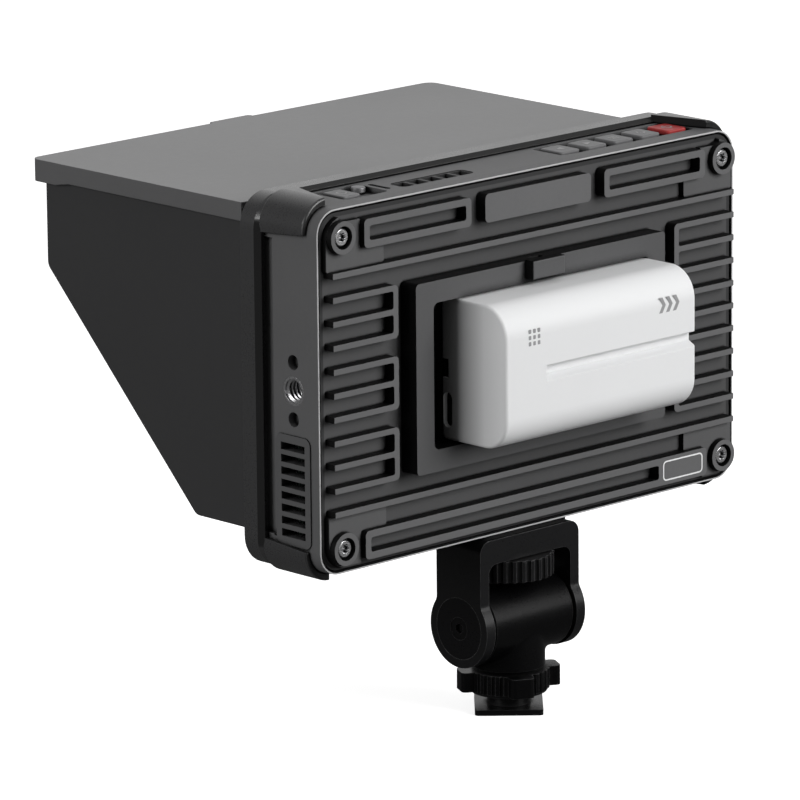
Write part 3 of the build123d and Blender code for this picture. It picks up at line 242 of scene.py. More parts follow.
class EffectLibrary:
    """Builds each shared shader group once and places it in materials."""

    socket_kinds = {"Colour": "NodeSocketColor", "Normal": "NodeSocketVector"}

    def __init__(self) -> None:
        """Start with no group built, and list each effect's method and its inputs' defaults."""
        self.built: dict[Effect, bpy.types.NodeTree] = {}
        self.plans: dict[Effect, tuple[Fill, dict[str, float]]] = {
            Effect.GRAIN: (self.grain, {"Scale": 3000.0, "Pits": 0.4}),
            Effect.EDGES: (self.edges, {"Radius": 0.0003, "Breakup": 0.5}),
            Effect.TONE: (self.tone, {"Colour": 0.5, "Amount": 0.1, "Scale": 40.0}),
            Effect.DUST: (self.dust, {"Amount": 0.1}),
            Effect.TURNED: (self.turned, {"Scale": 4000.0, "Stretch": 0.06}),
            Effect.CREVICE: (self.crevice, {"Reach": 0.002, "Amount": 0.7}),
            Effect.OUTLINE: (self.outline, {"Half Width": 0.0774, "Half Height": 0.0486,
                                            "Corner": 0.0066, "Middle": 0.1005}),
        }

    def group(self, effect: Effect) -> bpy.types.NodeTree:
        """The node group of an effect, built at its first use.

        Args:
            effect: Which effect.

        Returns:
            The shader node group.
        """
        if effect not in self.built:
            fill, defaults = self.plans[effect]
            tree = bpy.data.node_groups.new(effect.value, "ShaderNodeTree")
            for name, default in defaults.items():
                socket = self.open_socket(tree, name, "INPUT")
                socket.default_value = (*grey(default), 1.0) if name == "Colour" else default
            sheet = NodeSheet(tree)
            given = sheet.add("NodeGroupInput").outputs
            made = fill(sheet, {name: given[name] for name in defaults})
            for name in made:
                self.open_socket(tree, name, "OUTPUT")
            sheet.add("NodeGroupOutput", made)
            self.built[effect] = tree
        return self.built[effect]

    def open_socket(self, tree: bpy.types.NodeTree, name: str,
                    way: str) -> bpy.types.NodeTreeInterfaceSocket:
        """Give a group a named input or output."""
        kind = self.socket_kinds.get(name, "NodeSocketFloat")
        return tree.interface.new_socket(name, in_out=way, socket_type=kind)

    def place(self, sheet: NodeSheet, effect: Effect, **values: Feed) -> bpy.types.NodeOutputs:
        """Put an effect in a material.

        Args:
            sheet: The material's node sheet.
            effect: Which effect.
            values: Input values by name.

        Returns:
            The group node's outputs.
        """
        return sheet.add("ShaderNodeGroup", values, node_tree=self.group(effect)).outputs

    @staticmethod
    def grain(sheet: NodeSheet, given: Sockets) -> Sockets:
        """Fine moulded or cast grain: a height and a matching mask of its pits.

        Args:
            sheet: The group's sheet.
            given: The group's inputs by name.

        Returns:
            The group's outputs by name.
        """
        cell_scale = 0.55
        place = sheet.place()
        fine = sheet.noise(place, given["Scale"], detail=4.0, roughness=0.6)
        feeds = {"Vector": place, "Scale": sheet.product(given["Scale"], cell_scale)}
        cells = sheet.add("ShaderNodeTexVoronoi", feeds, feature="SMOOTH_F1").outputs["Distance"]
        pits = sheet.product(sheet.math("SUBTRACT", 1.0, cells), given["Pits"])
        height = sheet.math("ADD", fine, pits)
        return {"Height": height, "Mask": sheet.ramp(height, low=0.45, high=0.95)}

    @staticmethod
    def edges(sheet: NodeSheet, given: Sockets) -> Sockets:
        """Rounded edge normals, and a broken mask of the edges for rubbed wear and a painted highlight.

        Args:
            sheet: The group's sheet.
            given: The group's inputs by name.

        Returns:
            The group's outputs by name.
        """
        patch_scale = 160.0
        rounded = sheet.add("ShaderNodeBevel", {"Radius": given["Radius"]}, samples=5).outputs[0]
        flat = sheet.add("ShaderNodeNewGeometry").outputs["Normal"]
        edge = sheet.ramp(sheet.math("SUBTRACT", 1.0, sheet.dot(rounded, flat)), low=0.015, high=0.2)
        blotches = sheet.noise(sheet.place(), patch_scale, detail=5.0, roughness=0.65)
        patches = sheet.ramp(blotches, low=0.3, high=0.75)
        kept = sheet.math("SUBTRACT", 1.0, sheet.product(patches, given["Breakup"]))
        return {"Normal": rounded, "Mask": sheet.product(edge, kept)}

    @staticmethod
    def tone(sheet: NodeSheet, given: Sockets) -> Sockets:
        """Colour that drifts a little over the surface, with finer mottling on top.

        Args:
            sheet: The group's sheet.
            given: The group's inputs by name.

        Returns:
            The group's outputs by name.
        """
        slow_share, fine_share, fine_scale = 0.65, 0.35, 22.0
        place = sheet.place()
        slow = sheet.noise(place, given["Scale"])
        fine = sheet.noise(place, sheet.product(given["Scale"], fine_scale), detail=2.0)
        blend = sheet.math("ADD", sheet.product(slow, slow_share), sheet.product(fine, fine_share))
        swing = sheet.product(sheet.math("SUBTRACT", blend, 0.5), given["Amount"])
        feeds = {0: given["Colour"], "Scale": sheet.math("MULTIPLY_ADD", swing, 2.0, 1.0)}
        scaled = sheet.add("ShaderNodeVectorMath", feeds, operation="SCALE").outputs[0]
        return {"Colour": scaled, "Mask": blend}

    @staticmethod
    def dust(sheet: NodeSheet, given: Sockets) -> Sockets:
        """Mask of thin dust on faces that look up.

        Args:
            sheet: The group's sheet.
            given: The group's inputs by name.

        Returns:
            The group's outputs by name.
        """
        speck_scale = 900.0
        looks_up = sheet.ramp(sheet.split(sheet.normal())["Z"], low=0.3, high=0.95)
        noise = sheet.noise(sheet.place(), speck_scale, detail=6.0, roughness=0.75)
        amount = sheet.product(sheet.ramp(noise, low=0.42, high=0.8), given["Amount"])
        return {"Mask": sheet.math("MULTIPLY", looks_up, amount, clamp=True)}

    @staticmethod
    def turned(sheet: NodeSheet, given: Sockets) -> Sockets:
        """Fine tool lines of turned or drawn metal, as a height and a tone mask.

        Args:
            sheet: The group's sheet.
            given: The group's inputs by name.

        Returns:
            The group's outputs by name.
        """
        parts = sheet.split(sheet.place())
        squashed = {0: sheet.product(parts["X"], given["Stretch"]), 1: parts["Y"], 2: parts["Z"]}
        place = sheet.add("ShaderNodeCombineXYZ", squashed).outputs[0]
        lines = sheet.noise(place, given["Scale"], detail=2.0)
        return {"Height": lines, "Mask": sheet.ramp(lines, low=0.3, high=0.7)}

    @staticmethod
    def crevice(sheet: NodeSheet, given: Sockets) -> Sockets:
        """Mask of gaps and inner corners, where painted shade darkens the colour.

        Args:
            sheet: The group's sheet.
            given: The group's inputs by name.

        Returns:
            The group's outputs by name.
        """
        feeds = {"Distance": given["Reach"]}
        openness = sheet.add("ShaderNodeAmbientOcclusion", feeds, samples=6).outputs["AO"]
        closed = sheet.ramp(sheet.math("SUBTRACT", 1.0, openness), low=0.22, high=0.45)
        return {"Mask": sheet.product(closed, given["Amount"])}

    @staticmethod
    def outline(sheet: NodeSheet, given: Sockets) -> Sockets:
        """Distance inwards from the body's rounded outline, seen from the back.

        Args:
            sheet: The group's sheet.
            given: The group's inputs by name.

        Returns:
            The group's outputs by name.
        """
        parts = sheet.split(sheet.place())
        corner = given["Corner"]
        from_middle = sheet.math("SUBTRACT", parts["Z"], given["Middle"])
        beyond = []
        for offset, half in ((parts["X"], given["Half Width"]), (from_middle, given["Half Height"])):
            straight = sheet.math("SUBTRACT", half, corner)
            beyond.append(sheet.math("SUBTRACT", sheet.math("ABSOLUTE", offset), straight))
        feeds = {index: sheet.math("MAXIMUM", part, 0.0) for index, part in enumerate(beyond)}
        round_part = sheet.add("ShaderNodeCombineXYZ", feeds).outputs[0]
        outside = sheet.add("ShaderNodeVectorMath", {0: round_part}, operation="LENGTH").outputs["Value"]
        inside = sheet.math("MINIMUM", sheet.math("MAXIMUM", *beyond), 0.0)
        reach = sheet.math("ADD", outside, inside)
        return {"Distance": sheet.math("SUBTRACT", corner, reach)}


def fresh_sheet(owner: Union[bpy.types.Material, bpy.types.World]) -> NodeSheet:
    """Empty node sheet of a new material or world.

    Args:
        owner: The material or world.

    Returns:
        Its sheet, without the nodes it came with.
    """
    owner.use_nodes = True
    owner.node_tree.nodes.clear()
    return NodeSheet(owner.node_tree)


@dataclass(frozen=True)
class Finish:
    """A surface finish: its name, its plain colour and the way its shader is built."""

    name: str
    colour: Colour

    def shader(self, sheet: NodeSheet, effects: EffectLibrary) -> Socket:
        """The surface, which each kind of finish builds in its own way.

        Args:
            sheet: The material's node sheet.
            effects: The shared shader groups.

        Returns:
            The shader's output.
        """
        raise NotImplementedError

    def material(self, effects: EffectLibrary) -> bpy.types.Material:
        """Build the material.

        Args:
            effects: The shared shader groups.

        Returns:
            The finished material.
        """
        made = bpy.data.materials.new(self.name)
        sheet = fresh_sheet(made)
        sheet.add("ShaderNodeOutputMaterial", {"Surface": self.shader(sheet, effects)})
        made.diffuse_color = (*self.colour, 1.0)
        return made


@dataclass(frozen=True)
class CoatedFinish(Finish):
    """Coated metal, moulded plastic or rubber with grain, uneven tone, dust, rubbed edges with a painted
    highlight, and painted shade.

    Depths are read along +Y. A field that is None leaves its mark out.

    Attributes:
        roughness: Roughness of the clean surface.
        specular: Strength of the mirror part.
        grain_mm: Size of the grain.
        grain_height_mm: Height of the grain.
        pits: Share of pits in the grain.
        tone: How far the colour drifts.
        tone_scale: Scale of the drift.
        edge_wear_highlight_colour: Colour of rubbed edges, which also serves as a painted highlight.
        edge_wear_highlight_share: Strength of that wear and painted highlight.
        edge_mm: Radius that the edges look rounded by.
        dust: Amount of dust on faces that look up.
        coat: Weight of a clear coat.
        coat_roughness: Roughness of the clear coat.
        crevice: Strength of the painted shade in gaps.
        crevice_mm: Reach of the painted shade in gaps.
        shaded_facing: Range of a face's direction along +Y that gets painted shade in black.
        facing_shade_share: Strength of that painted shade.
        shade_below_mm: Depth under which all is black, as painted shade.
        end_shade_mm: Depths between which faces towards +X get darker to the front, as painted shade.
        end_shade_share: Strength of that painted shade.
        raised_mm: Depths of the floor and of the rib tops; painted shade darkens the floor and fades out
            towards the rib tops.
        floor_unshaded_share: Share of the colour that the floor keeps under that painted shade.
        rim_from_mm: Depth from which the rim line of painted highlight is drawn.
        rim_line_mm: Width of the rim line.
        rim_highlight_colour: Colour of the painted highlight on the rim line.
        seam_shade_mm: Width of the dark border of painted shade inside the outline.
        seam_shade_share: Strength of that painted shade.
        slope_shade_share: Strength of the painted shade on faces that lean a little to the back.
    """

    roughness: float
    specular: float = 0.5
    grain_mm: float = 0.35
    grain_height_mm: float = 0.02
    pits: float = 0.4
    tone: float = 0.12
    tone_scale: float = 40.0
    edge_wear_highlight_colour: Colour = (0.3, 0.3, 0.3)
    edge_wear_highlight_share: float = 0.35
    edge_mm: float = 0.25
    dust: float = 0.05
    coat: float = 0.0
    coat_roughness: float = 0.12
    crevice: float = 0.8
    crevice_mm: float = 2.0
    shaded_facing: Optional[Flat] = None
    facing_shade_share: float = 0.98
    shade_below_mm: Optional[float] = None
    end_shade_mm: Optional[Flat] = None
    end_shade_share: float = 0.8
    raised_mm: Optional[Flat] = None
    floor_unshaded_share: float = 0.6
    rim_from_mm: Optional[float] = None
    rim_line_mm: float = 0.55
    rim_highlight_colour: Colour = (0.5, 0.5, 0.505)
    seam_shade_mm: Optional[float] = None
    seam_shade_share: float = 0.5
    slope_shade_share: float = 0.0

    def facing_shade_mask(self, sheet: NodeSheet) -> Socket:
        """Mask of painted shade on the faces whose direction along +Y is in the shaded range.

        Args:
            sheet: The material's node sheet.

        Returns:
            The mask.
        """
        soft = 0.1
        low, high = self.shaded_facing
        back = sheet.split(sheet.normal())["Y"]
        return sheet.product(sheet.ramp(back, low - soft, low), sheet.ramp(back, high + soft, high))

    def slope_shade_mask(self, sheet: NodeSheet) -> Socket:
        """Mask of painted shade on the straight faces that lean a little to the back.

        Args:
            sheet: The material's node sheet.

        Returns:
            The mask.
        """
        parts = sheet.split(sheet.normal())
        sizes = [sheet.math("ABSOLUTE", parts[axis]) for axis in ("X", "Z")]
        straight = sheet.ramp(sheet.math("MAXIMUM", *sizes), low=0.9, high=0.94)
        leaning = sheet.ramp(parts["Y"], low=0.15, high=0.22)
        return sheet.product(sheet.product(straight, leaning), self.slope_shade_share)

    def painted_shade_masks(self, sheet: NodeSheet) -> list[Socket]:
        """Masks of painted shade in black on low floors, deep walls, shaded ends and side faces.

        Args:
            sheet: The material's node sheet.

        Returns:
            The masks, in the order in which they are laid on.
        """
        soft_mm = 0.1
        depth = sheet.split(sheet.place())["Y"]
        masks = []
        # Painted shade: the floor between the ribs is darker, fading out towards the rib tops.
        if self.raised_mm is not None:
            low, high = self.raised_mm
            masks.append(sheet.product(sheet.ramp(depth, mm(high), mm(low)), 1.0 - self.floor_unshaded_share))
        # Painted shade: all that lies deeper than this is black.
        if self.shade_below_mm is not None:
            masks.append(sheet.ramp(depth, mm(self.shade_below_mm + soft_mm), mm(self.shade_below_mm)))
        # Painted shade: end faces darken towards the front, where the recess wall shades them.
        if self.end_shade_mm is not None:
            start, end = self.end_shade_mm
            ended = sheet.ramp(sheet.split(sheet.normal())["X"], low=0.4, high=0.9)
            shade = sheet.product(sheet.ramp(depth, mm(end), mm(start)), ended)
            masks.append(sheet.product(shade, self.end_shade_share))
        # Painted shade: faces turned by their direction are mixed towards black.
        if self.shaded_facing is not None:
            masks.append(sheet.product(self.facing_shade_mask(sheet), self.facing_shade_share))
        return masks

    def lined(self, sheet: NodeSheet, effects: EffectLibrary, colour: Feed) -> Feed:
        """Lay the rim line, a painted highlight with painted shade on its inner side, and the dark border of
        painted shade over a colour.

        Args:
            sheet: The material's node sheet.
            effects: The shared shader groups.
            colour: The colour below.

        Returns:
            The colour with the lines on it.
        """
        depth_soft, line_soft, border_soft = 0.05, 0.03, 0.1
        if self.rim_from_mm is None and self.seam_shade_mm is None:
            return colour
        inwards = effects.place(sheet, Effect.OUTLINE)["Distance"]
        # Painted highlight on the rim line's outer part, painted shade on its inner part.
        if self.rim_from_mm is not None:
            depth = sheet.split(sheet.place())["Y"]
            rim = sheet.ramp(depth, mm(self.rim_from_mm - depth_soft), mm(self.rim_from_mm + depth_soft))
            inner = sheet.ramp(inwards, mm(self.rim_line_mm - line_soft), mm(self.rim_line_mm + line_soft))
            colour = sheet.mix(rim, colour, sheet.mix(inner, self.rim_highlight_colour, PAINTED_SHADE_BLACK))
        # Painted shade along the seam inside the outline.
        if self.seam_shade_mm is not None:
            border = sheet.ramp(inwards, mm(self.seam_shade_mm + border_soft), mm(self.seam_shade_mm - border_soft))
            colour = sheet.mix(sheet.product(border, self.seam_shade_share), colour, PAINTED_SHADE_BLACK)
        return colour

    def shader(self, sheet: NodeSheet, effects: EffectLibrary) -> Socket:
        """Colour from the bare coat up to the painted shade in crevices, with grain and rounded edges in the
        normal.

        Args:
            sheet: The material's node sheet.
            effects: The shared shader groups.

        Returns:
            The shader's output.
        """
        breakup, grain_spread, tone_spread, crevice_roughness = 0.5, 0.12, 0.2, 0.4
        tone = effects.place(sheet, Effect.TONE, Colour=self.colour, Amount=self.tone, Scale=self.tone_scale)
        grain = effects.place(sheet, Effect.GRAIN, Scale=1.0 / mm(self.grain_mm), Pits=self.pits)
        edges = effects.place(sheet, Effect.EDGES, Radius=mm(self.edge_mm), Breakup=breakup)
        dust = effects.place(sheet, Effect.DUST, Amount=self.dust)["Mask"]
        shade = effects.place(sheet, Effect.CREVICE, Reach=mm(self.crevice_mm), Amount=self.crevice)
        crevice = shade["Mask"]
        # Rubbed edges, lightened also as a painted highlight.
        colour = sheet.mix(sheet.product(edges["Mask"], self.edge_wear_highlight_share), tone["Colour"], self.edge_wear_highlight_colour)
        colour = sheet.mix(dust, colour, DUST_COLOUR)
        # Painted shade: each mask mixes the colour towards black.
        for mask in self.painted_shade_masks(sheet):
            colour = sheet.mix(mask, colour, PAINTED_SHADE_BLACK)
        # Painted shade in crevices.
        colour = sheet.mix(crevice, self.lined(sheet, effects, colour), PAINTED_CREVICE_SHADE)
        rough = sheet.math("MULTIPLY_ADD", crevice, crevice_roughness, self.roughness)
        # Painted shade on the faces that lean a little to the back.
        if self.slope_shade_share > 0:
            slope = self.slope_shade_mask(sheet)
            colour = sheet.mix(slope, colour, PAINTED_SHADE_BLACK)
            rough = sheet.math("ADD", rough, slope)
        smeared = sheet.math("ADD", sheet.swing(grain["Mask"], grain_spread),
                             sheet.swing(tone["Mask"], tone_spread))
        return sheet.add("ShaderNodeBsdfPrincipled", {
            "Base Color": colour, "Roughness": sheet.math("ADD", smeared, rough, clamp=True),
            "Specular IOR Level": self.specular, "Coat Weight": self.coat,
            "Coat Roughness": self.coat_roughness,
            "Normal": sheet.bump(grain["Height"], self.grain_height_mm, edges["Normal"])}).outputs[0]


@dataclass(frozen=True)
class TurnedMetalFinish(Finish):
    """Bare turned or plated metal with tool lines and slightly dulled patches."""

    roughness: float = 0.28
    line_mm: float = 0.12
    line_height_mm: float = 0.004
    edge_mm: float = 0.12
    crevice: float = 0.95
    crevice_mm: float = 1.6

    def shader(self, sheet: NodeSheet, effects: EffectLibrary) -> Socket:
        """Metal with edges lightened by wear and a painted highlight, painted shade in corners, and tool
        lines.

        Args:
            sheet: The material's node sheet.
            effects: The shared shader groups.

        Returns:
            The shader's output.
        """
        edge_wear_highlight_gain, edge_wear_highlight_share, line_spread = 1.25, 0.5, 0.16
        tone = effects.place(sheet, Effect.TONE, Colour=self.colour, Amount=0.12, Scale=300.0)
        lines = effects.place(sheet, Effect.TURNED, Scale=1.0 / mm(self.line_mm), Stretch=0.08)
        edges = effects.place(sheet, Effect.EDGES, Radius=mm(self.edge_mm), Breakup=0.2)
        crevice = effects.place(sheet, Effect.CREVICE, Reach=mm(self.crevice_mm), Amount=self.crevice)
        # Edges lightened by wear and as a painted highlight.
        bright = tuple(min(1.0, edge_wear_highlight_gain * part) for part in self.colour)
        colour = sheet.mix(sheet.product(edges["Mask"], edge_wear_highlight_share), tone["Colour"], bright)
        # Painted shade in the corners.
        colour = sheet.mix(crevice["Mask"], colour, PAINTED_METAL_CREVICE_SHADE)
        rough = sheet.math("ADD", sheet.swing(lines["Mask"], line_spread), self.roughness, clamp=True)
        return sheet.add("ShaderNodeBsdfPrincipled", {
            "Base Color": colour, "Roughness": rough, "Metallic": 1.0,
            "Normal": sheet.bump(lines["Height"], self.line_height_mm, edges["Normal"])}).outputs[0]


@dataclass(frozen=True)
class ScreenGlassFinish(Finish):
    """Clear front glass with a trace of smears."""

    tint: Colour = (0.93, 0.95, 0.95)
    roughness: float = 0.03
    smear: float = 0.05

    def shader(self, sheet: NodeSheet, effects: EffectLibrary) -> Socket:
        """Glass whose roughness rises in the smears.

        Args:
            sheet: The material's node sheet.
            effects: The shared shader groups.

        Returns:
            The shader's output.
        """
        tone = effects.place(sheet, Effect.TONE, Colour=self.tint, Amount=0.02, Scale=25.0)
        smears = sheet.ramp(tone["Mask"], low=0.45, high=0.75)
        return sheet.add("ShaderNodeBsdfPrincipled", {
            "Base Color": tone["Colour"], "Metallic": 0.0, "IOR": 1.5, "Transmission Weight": 1.0,
            "Roughness": sheet.math("MULTIPLY_ADD", smears, self.smear, self.roughness)}).outputs[0]


@dataclass(frozen=True)
class CircuitFinish(Finish):
    """Circuit board with solder mask, copper tracks and vias."""

    copper: Colour = (0.012, 0.024, 0.016)
    track_scale: float = 260.0
    track_count: float = 40.0
    track_height_mm: float = 0.03

    def shader(self, sheet: NodeSheet, effects: EffectLibrary) -> Socket:
        """Solder mask over raised tracks.

        Args:
            sheet: The material's node sheet.
            effects: The shared shader groups.

        Returns:
            The shader's output.
        """
        feeds = {"Vector": sheet.place(), "Scale": self.track_scale, "Randomness": 1.0}
        cells = sheet.add("ShaderNodeTexVoronoi", feeds, feature="F1", distance="CHEBYCHEV")
        waves = sheet.math("SINE", sheet.product(cells.outputs["Distance"], self.track_count))
        tracks = sheet.ramp(waves, low=0.2, high=0.5)
        tone = effects.place(sheet, Effect.TONE, Colour=self.colour, Amount=0.1, Scale=60.0)
        return sheet.add("ShaderNodeBsdfPrincipled", {
            "Base Color": sheet.mix(tracks, tone["Colour"], self.copper), "Roughness": 0.35,
            "Normal": sheet.bump(tracks, self.track_height_mm)}).outputs[0]


@dataclass(frozen=True)
class FlockedPanelFinish(Finish):
    """Hood panel: fine matt plastic outside, soft black flocking on the side that faces the screen."""

    inward: tuple[float, float, float]
    roughness: float = 0.42
    specular: float = 0.5
    edge_wear_highlight_colour: Colour = (0.16, 0.16, 0.165)
    edge_wear_highlight_share: float = 0.25
    flock: Colour = (0.006, 0.006, 0.0065)
    flock_gain: float = 3.0
    fibre_scale: float = 9000.0
    relief_mm: float = 0.008

    def shader(self, sheet: NodeSheet, effects: EffectLibrary) -> Socket:
        """Plastic on the outer faces and flocking on the inner one.

        Args:
            sheet: The material's node sheet.
            effects: The shared shader groups.

        Returns:
            The shader's output.
        """
        grain_mm, edge_mm, tone_spread = 0.3, 0.35, 0.12
        inside = sheet.ramp(sheet.dot(sheet.normal(), self.inward), low=0.6, high=0.8)
        tone = effects.place(sheet, Effect.TONE, Colour=self.colour, Amount=0.1, Scale=18.0)
        grain = effects.place(sheet, Effect.GRAIN, Scale=1.0 / mm(grain_mm), Pits=0.3)
        edges = effects.place(sheet, Effect.EDGES, Radius=mm(edge_mm), Breakup=0.5)
        dust = effects.place(sheet, Effect.DUST, Amount=0.03)["Mask"]
        fibres = sheet.noise(sheet.place(), self.fibre_scale, detail=6.0, roughness=0.8)
        colour = sheet.mix(sheet.product(edges["Mask"], self.edge_wear_highlight_share), tone["Colour"], self.edge_wear_highlight_colour)
        colour = sheet.mix(dust, colour, DUST_COLOUR)
        nap = sheet.mix(fibres, self.flock, tuple(self.flock_gain * part for part in self.flock))
        smeared = sheet.math("ADD", sheet.swing(tone["Mask"], tone_spread), self.roughness)
        height = sheet.math("ADD", grain["Height"], sheet.product(inside, fibres))
        return sheet.add("ShaderNodeBsdfPrincipled", {
            "Base Color": sheet.mix(inside, colour, nap),
            "Roughness": sheet.math("MAXIMUM", smeared, inside, clamp=True),
            "Specular IOR Level": self.specular,
            "Normal": sheet.bump(height, self.relief_mm, edges["Normal"])}).outputs[0]


@dataclass
class Wardrobe:
    """Every finish by name, each built once."""

    effects: EffectLibrary
    made: dict[str, bpy.types.Material] = field(default_factory=dict)

    def get(self, finish: Finish) -> bpy.types.Material:
        """The material of a finish, built at its first use.

        Args:
            finish: The finish.

        Returns:
            Its material.
        """
        if finish.name not in self.made:
            self.made[finish.name] = finish.material(self.effects)
        return self.made[finish.name]


class Finishes:
    """The monitor's finishes."""

    # The bracket's light edge grey stands for painted highlights along its chamfers, as well as wear.
    BRACKET = CoatedFinish("satin black bracket coating", grey(0.0065, 0.007), 0.32, specular=0.25,
                           grain_mm=0.18, grain_height_mm=0.003, edge_wear_highlight_colour=grey(0.28, 0.285),
                           edge_wear_highlight_share=0.6, edge_mm=0.22, dust=0.0, crevice=0.9)
    # Same black coating as the bracket, darker as painted shade on the post and lock wheel.
    POST = replace(BRACKET, name="bracket coating darkened as painted shade on the post", colour=grey(0.002, 0.0022), roughness=0.3,
                   specular=0.13, edge_wear_highlight_colour=grey(0.2, 0.205), edge_wear_highlight_share=0.5)
    # Darker than the bracket black: blacked steel, and painted shade on the foot and lock washer.
    BLACKED_STEEL = replace(POST, name="blacked steel", colour=grey(0.003, 0.0033), specular=0.18,
                            grain_mm=0.12, grain_height_mm=0.002, edge_wear_highlight_colour=grey(0.15, 0.155),
                            edge_mm=0.2)
    CAP = CoatedFinish("polished black cap", grey(0.0035, 0.004), 0.3, specular=0.2, grain_mm=0.25,
                       grain_height_mm=0.0004, tone=0.04, edge_wear_highlight_colour=grey(0.2), edge_wear_highlight_share=0.5,
                       edge_mm=0.2, dust=0.0)
    NYLON = CoatedFinish("natural nylon washer", (0.5, 0.48, 0.42), 0.5, dust=0.0)
    RUBBER = CoatedFinish("soft black rubber pad", grey(0.012), 0.75, specular=0.3, grain_mm=0.25)
    # The frame's rim line is a painted highlight with painted shade on its inner side; crevices get painted
    # shade.
    FRAME = CoatedFinish("dark grey frame coating", grey(0.118, 0.12), 0.5, specular=0.1,
                         grain_mm=0.16, grain_height_mm=0.006, edge_wear_highlight_colour=grey(0.3, 0.305),
                         edge_wear_highlight_share=0.3, edge_mm=0.3, dust=0.01, crevice=0.95, rim_from_mm=9.2)
    # The cover gets painted shade on its floor, walls, deep recess, seam border and crevices.
    COVER = CoatedFinish("textured grey cover coating", grey(0.13, 0.132), 0.5, specular=0.12,
                         grain_mm=0.16, grain_height_mm=0.009, edge_wear_highlight_colour=grey(0.34, 0.345),
                         edge_wear_highlight_share=0.3, edge_mm=0.12, dust=0.01, crevice=1.0, crevice_mm=0.8,
                         shaded_facing=(-0.6, 0.6), shade_below_mm=8.2, seam_shade_mm=2.3,
                         raised_mm=(8.95, 12.2))
    # The plate's side walls get painted shade in black.
    PLATE = CoatedFinish("matt grey battery plate", grey(0.092, 0.094), 0.5, specular=0.14,
                         grain_mm=0.22, grain_height_mm=0.008, edge_wear_highlight_colour=grey(0.26),
                         edge_wear_highlight_share=0.2, edge_mm=0.15, crevice=0.95, crevice_mm=4.0,
                         shaded_facing=(-0.6, 0.6))
    # The battery's end face darkens towards the front as painted shade.
    BATTERY = CoatedFinish("fine light grey battery shell", (0.79, 0.795, 0.8), 0.5, specular=0.3,
                           grain_mm=0.2, grain_height_mm=0.006, tone=0.02, edge_wear_highlight_colour=grey(0.85),
                           edge_wear_highlight_share=0.3, edge_mm=0.35, dust=0.0, crevice=0.3, crevice_mm=1.5,
                           end_shade_mm=(8.0, 24.0))
    # Black of the painted shade laid in the battery's end notch and slot.
    END_RECESS_SHADE = CoatedFinish("black painted shade in end recesses", grey(0.004), 0.7, specular=0.1, edge_wear_highlight_share=0.0,
                         edge_mm=0.05, dust=0.0)
    # The hood frame's faces towards +Y and its slightly leaning faces get painted shade.
    HOOD_FRAME = CoatedFinish("matt black hood frame", grey(0.036, 0.037), 0.3, specular=0.6,
                              grain_mm=0.2, grain_height_mm=0.006, edge_wear_highlight_colour=grey(0.16, 0.165),
                              edge_mm=0.3, dust=0.01, shaded_facing=(0.85, 1.1), slope_shade_share=0.9)
    # The lid is the same dark plastic as the side panels; its lighter grey is painted light from above.
    HOOD_TOP = FlockedPanelFinish("matt dark hood lid lightened as painted top light", grey(0.11, 0.112), (0.0, 0.0, -1.0), 0.4)
    HOOD_LEFT = FlockedPanelFinish("matt dark hood left side", grey(0.038, 0.039), (-1.0, 0.0, 0.0),
                                   roughness=0.5, specular=0.25)
    HOOD_RIGHT = replace(HOOD_LEFT, name="matt dark hood right side", inward=(1.0, 0.0, 0.0))
    GRILLE = CoatedFinish("moulded grey grille", grey(0.1, 0.102), 0.5, specular=0.12, grain_mm=0.2,
                          grain_height_mm=0.005, edge_wear_highlight_colour=grey(0.25), edge_mm=0.12, dust=0.0,
                          crevice=1.0, crevice_mm=2.5)
    TOP_GRILLE = replace(GRILLE, name="moulded black grille", colour=grey(0.03, 0.031), specular=0.2,
                         edge_wear_highlight_colour=grey(0.12))
    VENT_WIRE = CoatedFinish("black vent wire", grey(0.004), 0.6, specular=0.1, grain_mm=0.1,
                             grain_height_mm=0.002, edge_wear_highlight_share=0.0, edge_mm=0.05, dust=0.0)
    KEY = CoatedFinish("fine grey key", grey(0.125, 0.128), 0.5, grain_mm=0.15, grain_height_mm=0.006,
                       edge_wear_highlight_share=0.2, dust=0.01)
    RED_KEY = replace(KEY, name="fine red key", colour=(0.36, 0.02, 0.02), roughness=0.48,
                      edge_wear_highlight_colour=(0.65, 0.12, 0.1), edge_wear_highlight_share=0.25, dust=0.0)
    KEY_PRINT = CoatedFinish("pale key print", grey(0.32), 0.6, grain_mm=0.1, grain_height_mm=0.002,
                             edge_mm=0.03, dust=0.0)
    BATTERY_PRINT = replace(KEY_PRINT, name="grey battery print", colour=grey(0.3, 0.305), edge_wear_highlight_share=0.0)
    BADGE_PRINT = replace(BATTERY_PRINT, name="white badge print", colour=grey(0.8))
    BRIGHT_STEEL = TurnedMetalFinish("bright turned steel", grey(0.58, 0.59), crevice_mm=1.0)
    SCREW_STEEL = TurnedMetalFinish("bright screw heads", grey(0.72, 0.73), 0.26, crevice_mm=0.8)
    JOG_STEEL = TurnedMetalFinish("satin jog button", grey(0.24, 0.245), 0.55, crevice_mm=1.0)
    PIN_STEEL = TurnedMetalFinish("drawn hinge wire", grey(0.5), 0.35)
    PORT_METAL = TurnedMetalFinish("plated port shell", grey(0.6), 0.3)
    SPREADER = TurnedMetalFinish("plain alloy sheet", grey(0.75, 0.76), 0.4)
    GOLD = TurnedMetalFinish("gold plated contact", (0.9, 0.65, 0.28), 0.25)
    GASKET = CoatedFinish("closed-cell foam", grey(0.015), 0.9, grain_mm=0.4, grain_height_mm=0.05)
    PANEL = CoatedFinish("dark screen module", grey(0.02, 0.022), 0.4)
    ACTIVE = CoatedFinish("unlit screen area", (0.004, 0.0045, 0.006), 0.18, grain_mm=0.08,
                          grain_height_mm=0.0006, edge_wear_highlight_share=0.0, edge_mm=0.05, dust=0.0, coat=0.4)
